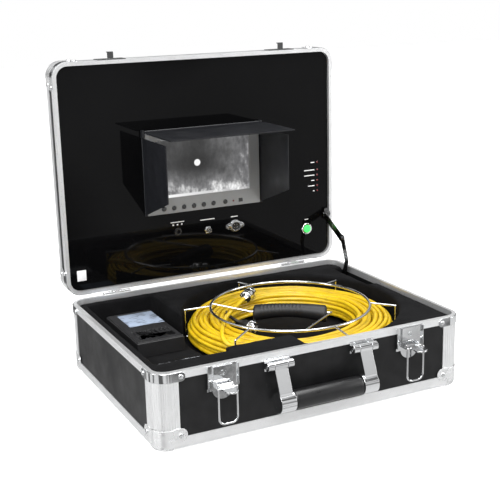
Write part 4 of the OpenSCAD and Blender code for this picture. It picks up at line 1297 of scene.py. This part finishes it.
class CASE_OT_monitor(bpy.types.Operator):
    """Makes the monitor's case, bezel, lit picture, keys and remote sensor."""

    bl_idname = "inspection_case.monitor"
    bl_label = "Monitor"

    def execute(self, context):
        softened("monitor_case", made(black_plastic), 0.6)
        bezel = softened("monitor_bezel", made(bezel_paint), 0.5, 3)
        # the hinge lugs at the sides and top are black
        bezel.data.materials.append(made(hood_plastic))
        to_panel = PANEL.inverted()
        for face in bezel.data.polygons:
            at = (to_panel @ face.center) / MM
            if abs(at.x) > 94.1 or at.z > 3.4:
                face.material_index = 1
        dressed("display_screen", made(screen_picture))
        softened("remote_sensor", made(gloss_black), 0.4)
        for k in range(1, 7):
            softened(f"menu_key_{k}", made(gloss_black), 0.5, 3)
        softened("monitor_power_key", made(gloss_black), 0.5, 3)
        return {"FINISHED"}


class CASE_OT_hood(bpy.types.Operator):
    """Makes the three folding flaps of the monitor's hood."""

    bl_idname = "inspection_case.hood"
    bl_label = "Folding hood"

    def execute(self, context):
        for node in ("hood_top_flap", "hood_left_flap", "hood_right_flap"):
            softened(node, made(hood_plastic), 0.35, 2)
        return {"FINISHED"}


class CASE_OT_jacks(bpy.types.Operator):
    """Makes the jacks, the screw socket with its pins, the indicator lamps and the lit switch."""

    bl_idname = "inspection_case.jacks"
    bl_label = "Jacks, lamps and switch"

    def execute(self, context):
        softened("dc_jack", made(gloss_black), 0.3)
        softened("video_jack", made(chrome), 0.3)
        softened("cam_socket", made(chrome), 0.35, 3)
        softened("status_leds", made(red_lens), 0.01, 1, 70)
        softened("power_switch_ring", made(chrome), 0.5, 3)
        softened("power_button", made(green_light), 0.5, 3)
        bush = [(1.75, 3.4), (3.2, 3.4), (3.2, 6.2), (3.0, 6.4), (1.75, 6.4), (1.75, 3.4)]
        disc = [(0, 1.0), (6.2, 1.0), (6.2, 1.7), (6.0, 1.9), (0, 1.9)]
        for key, profile, maker in (("video", bush, printed_white), ("camera", disc, gloss_black)):
            put = PANEL @ Matrix.Translation(mm(*JACKS[key], 0))
            turning(f"{key}_insulator", profile, put, 40, "lid", (), maker)
        return {"FINISHED"}


class CASE_OT_inner_works(bpy.types.Operator):
    """Finishes the battery pack and the circuit board behind the panel."""

    bl_idname = "inspection_case.inner_works"
    bl_label = "Battery and board"

    def execute(self, context):
        softened("battery_pack", made(film_wrap), 1.2, 3)
        softened("control_board", made(solder_mask), 0.1, 1)
        return {"FINISHED"}


OPERATORS = (
    CASE_OT_stage, CASE_OT_push_cable, CASE_OT_plug_lead, CASE_OT_shells, CASE_OT_edge_alloys,
    CASE_OT_corner_caps, CASE_OT_rivets, CASE_OT_foam_tray, CASE_OT_hardware, CASE_OT_handle_grip,
    CASE_OT_reel, CASE_OT_power_adapter, CASE_OT_accessory_pouch, CASE_OT_panel, CASE_OT_monitor,
    CASE_OT_hood, CASE_OT_jacks, CASE_OT_inner_works,
)


# ---- settings, panel and registration ----
def colour_of(name, text, value):
    return FloatVectorProperty(
        name=name, description=text, default=value, size=3, min=0, max=1, subtype="COLOR"
    )


def length_of(name, text, value_mm, low_mm, high_mm):
    return FloatProperty(
        name=name, description=text, default=value_mm * MM, min=low_mm * MM, max=high_mm * MM,
        subtype="DISTANCE", unit="LENGTH", precision=5,
    )


class CaseFinishes(bpy.types.PropertyGroup):
    laminate: colour_of("Laminate", "Colour of the case's outer sheets", (0.007, 0.007, 0.0075))
    alloy: colour_of("Alloy", "Colour of the rims, rails and posts", (0.9, 0.905, 0.91))
    plating: colour_of("Plating", "Colour of the bright plated steel", (0.86, 0.87, 0.88))
    foam: colour_of("Foam", "Colour of the tray's foam block", (0.0045, 0.0045, 0.005))
    panel: colour_of("Panel", "Colour of the gloss panel", (0.002, 0.002, 0.0022))
    bezel: colour_of("Bezel", "Colour of the monitor's frame", (0.27, 0.275, 0.28))
    cable: colour_of("Cable", "Colour of the push cable's jacket", (0.70, 0.47, 0.008))
    button: colour_of("Button", "Colour of the lit power button", (0.05, 0.75, 0.12))


class CaseDetails(bpy.types.PropertyGroup):
    cable_diameter: length_of("Cable diameter", "Outside diameter of the push cable", 6.0, 4, 8)
    lead_diameter: length_of("Lead diameter", "Outside diameter of the reel's plug lead", 5.0, 3, 7)
    cable_looseness: FloatProperty(
        name="Cable looseness", description="How far the wound turns stray from true circles",
        default=1.0, min=0, max=2,
    )
    points_per_turn: IntProperty(
        name="Points per turn", description="Points along each turn of the cable",
        default=60, min=12, max=120,
    )
    edge_softness: length_of("Edge softness", "Rounding of the alloy and corner edges", 0.6, 0.1, 2)
    hardware_softness: length_of("Hardware softness", "Rounding of the plated fittings", 0.35, 0.1, 1)
    rivet_radius: length_of("Rivet radius", "Radius of a rivet's head", 3.2, 1, 6)
    rivet_height: length_of("Rivet height", "Height of a rivet's dome", 1.3, 0.3, 3)
    foam_mesh_size: length_of("Foam mesh size", "Spacing of the foam block's mesh", 2.6, 2, 8)
    reel_grip_turn: FloatProperty(
        name="Reel grip turn", description="Direction of the reel's grip about the vertical",
        default=math.radians(-33), subtype="ANGLE", unit="ROTATION",
    )
    lamp_power: FloatProperty(
        name="Lamp power", description="Strength of all the softboxes", default=1.0, min=0.1, max=5
    )
    floor_glow: FloatProperty(
        name="Floor glow", description="Light given by the white floor", default=0.55, min=0, max=2
    )


class CASE_PT_panel(bpy.types.Panel):
    """Lists the case's pieces, sizes and finishes"""

    bl_label = "Inspection case"
    bl_idname = "CASE_PT_panel"
    bl_space_type = "VIEW_3D"
    bl_region_type = "UI"
    bl_category = "Inspection case"

    def draw(self, context):
        column = self.layout.column()
        for group in (context.scene.case_details, context.scene.case_finishes):
            for key in group.__annotations__:
                column.prop(group, key)
        for operator in OPERATORS:
            column.operator(operator.bl_idname)


CLASSES = (CaseFinishes, CaseDetails, *OPERATORS, CASE_PT_panel)


def register():
    for cls in CLASSES:
        bpy.utils.register_class(cls)
    bpy.types.Scene.case_finishes = PointerProperty(type=CaseFinishes)
    bpy.types.Scene.case_details = PointerProperty(type=CaseDetails)


def unregister():
    del bpy.types.Scene.case_details
    del bpy.types.Scene.case_finishes
    for cls in reversed(CLASSES):
        bpy.utils.unregister_class(cls)


def main():
    register()
    for operator in OPERATORS:
        group, name = operator.bl_idname.split(".")
        getattr(getattr(bpy.ops, group), name)()


if __name__ == "__main__":
    main()
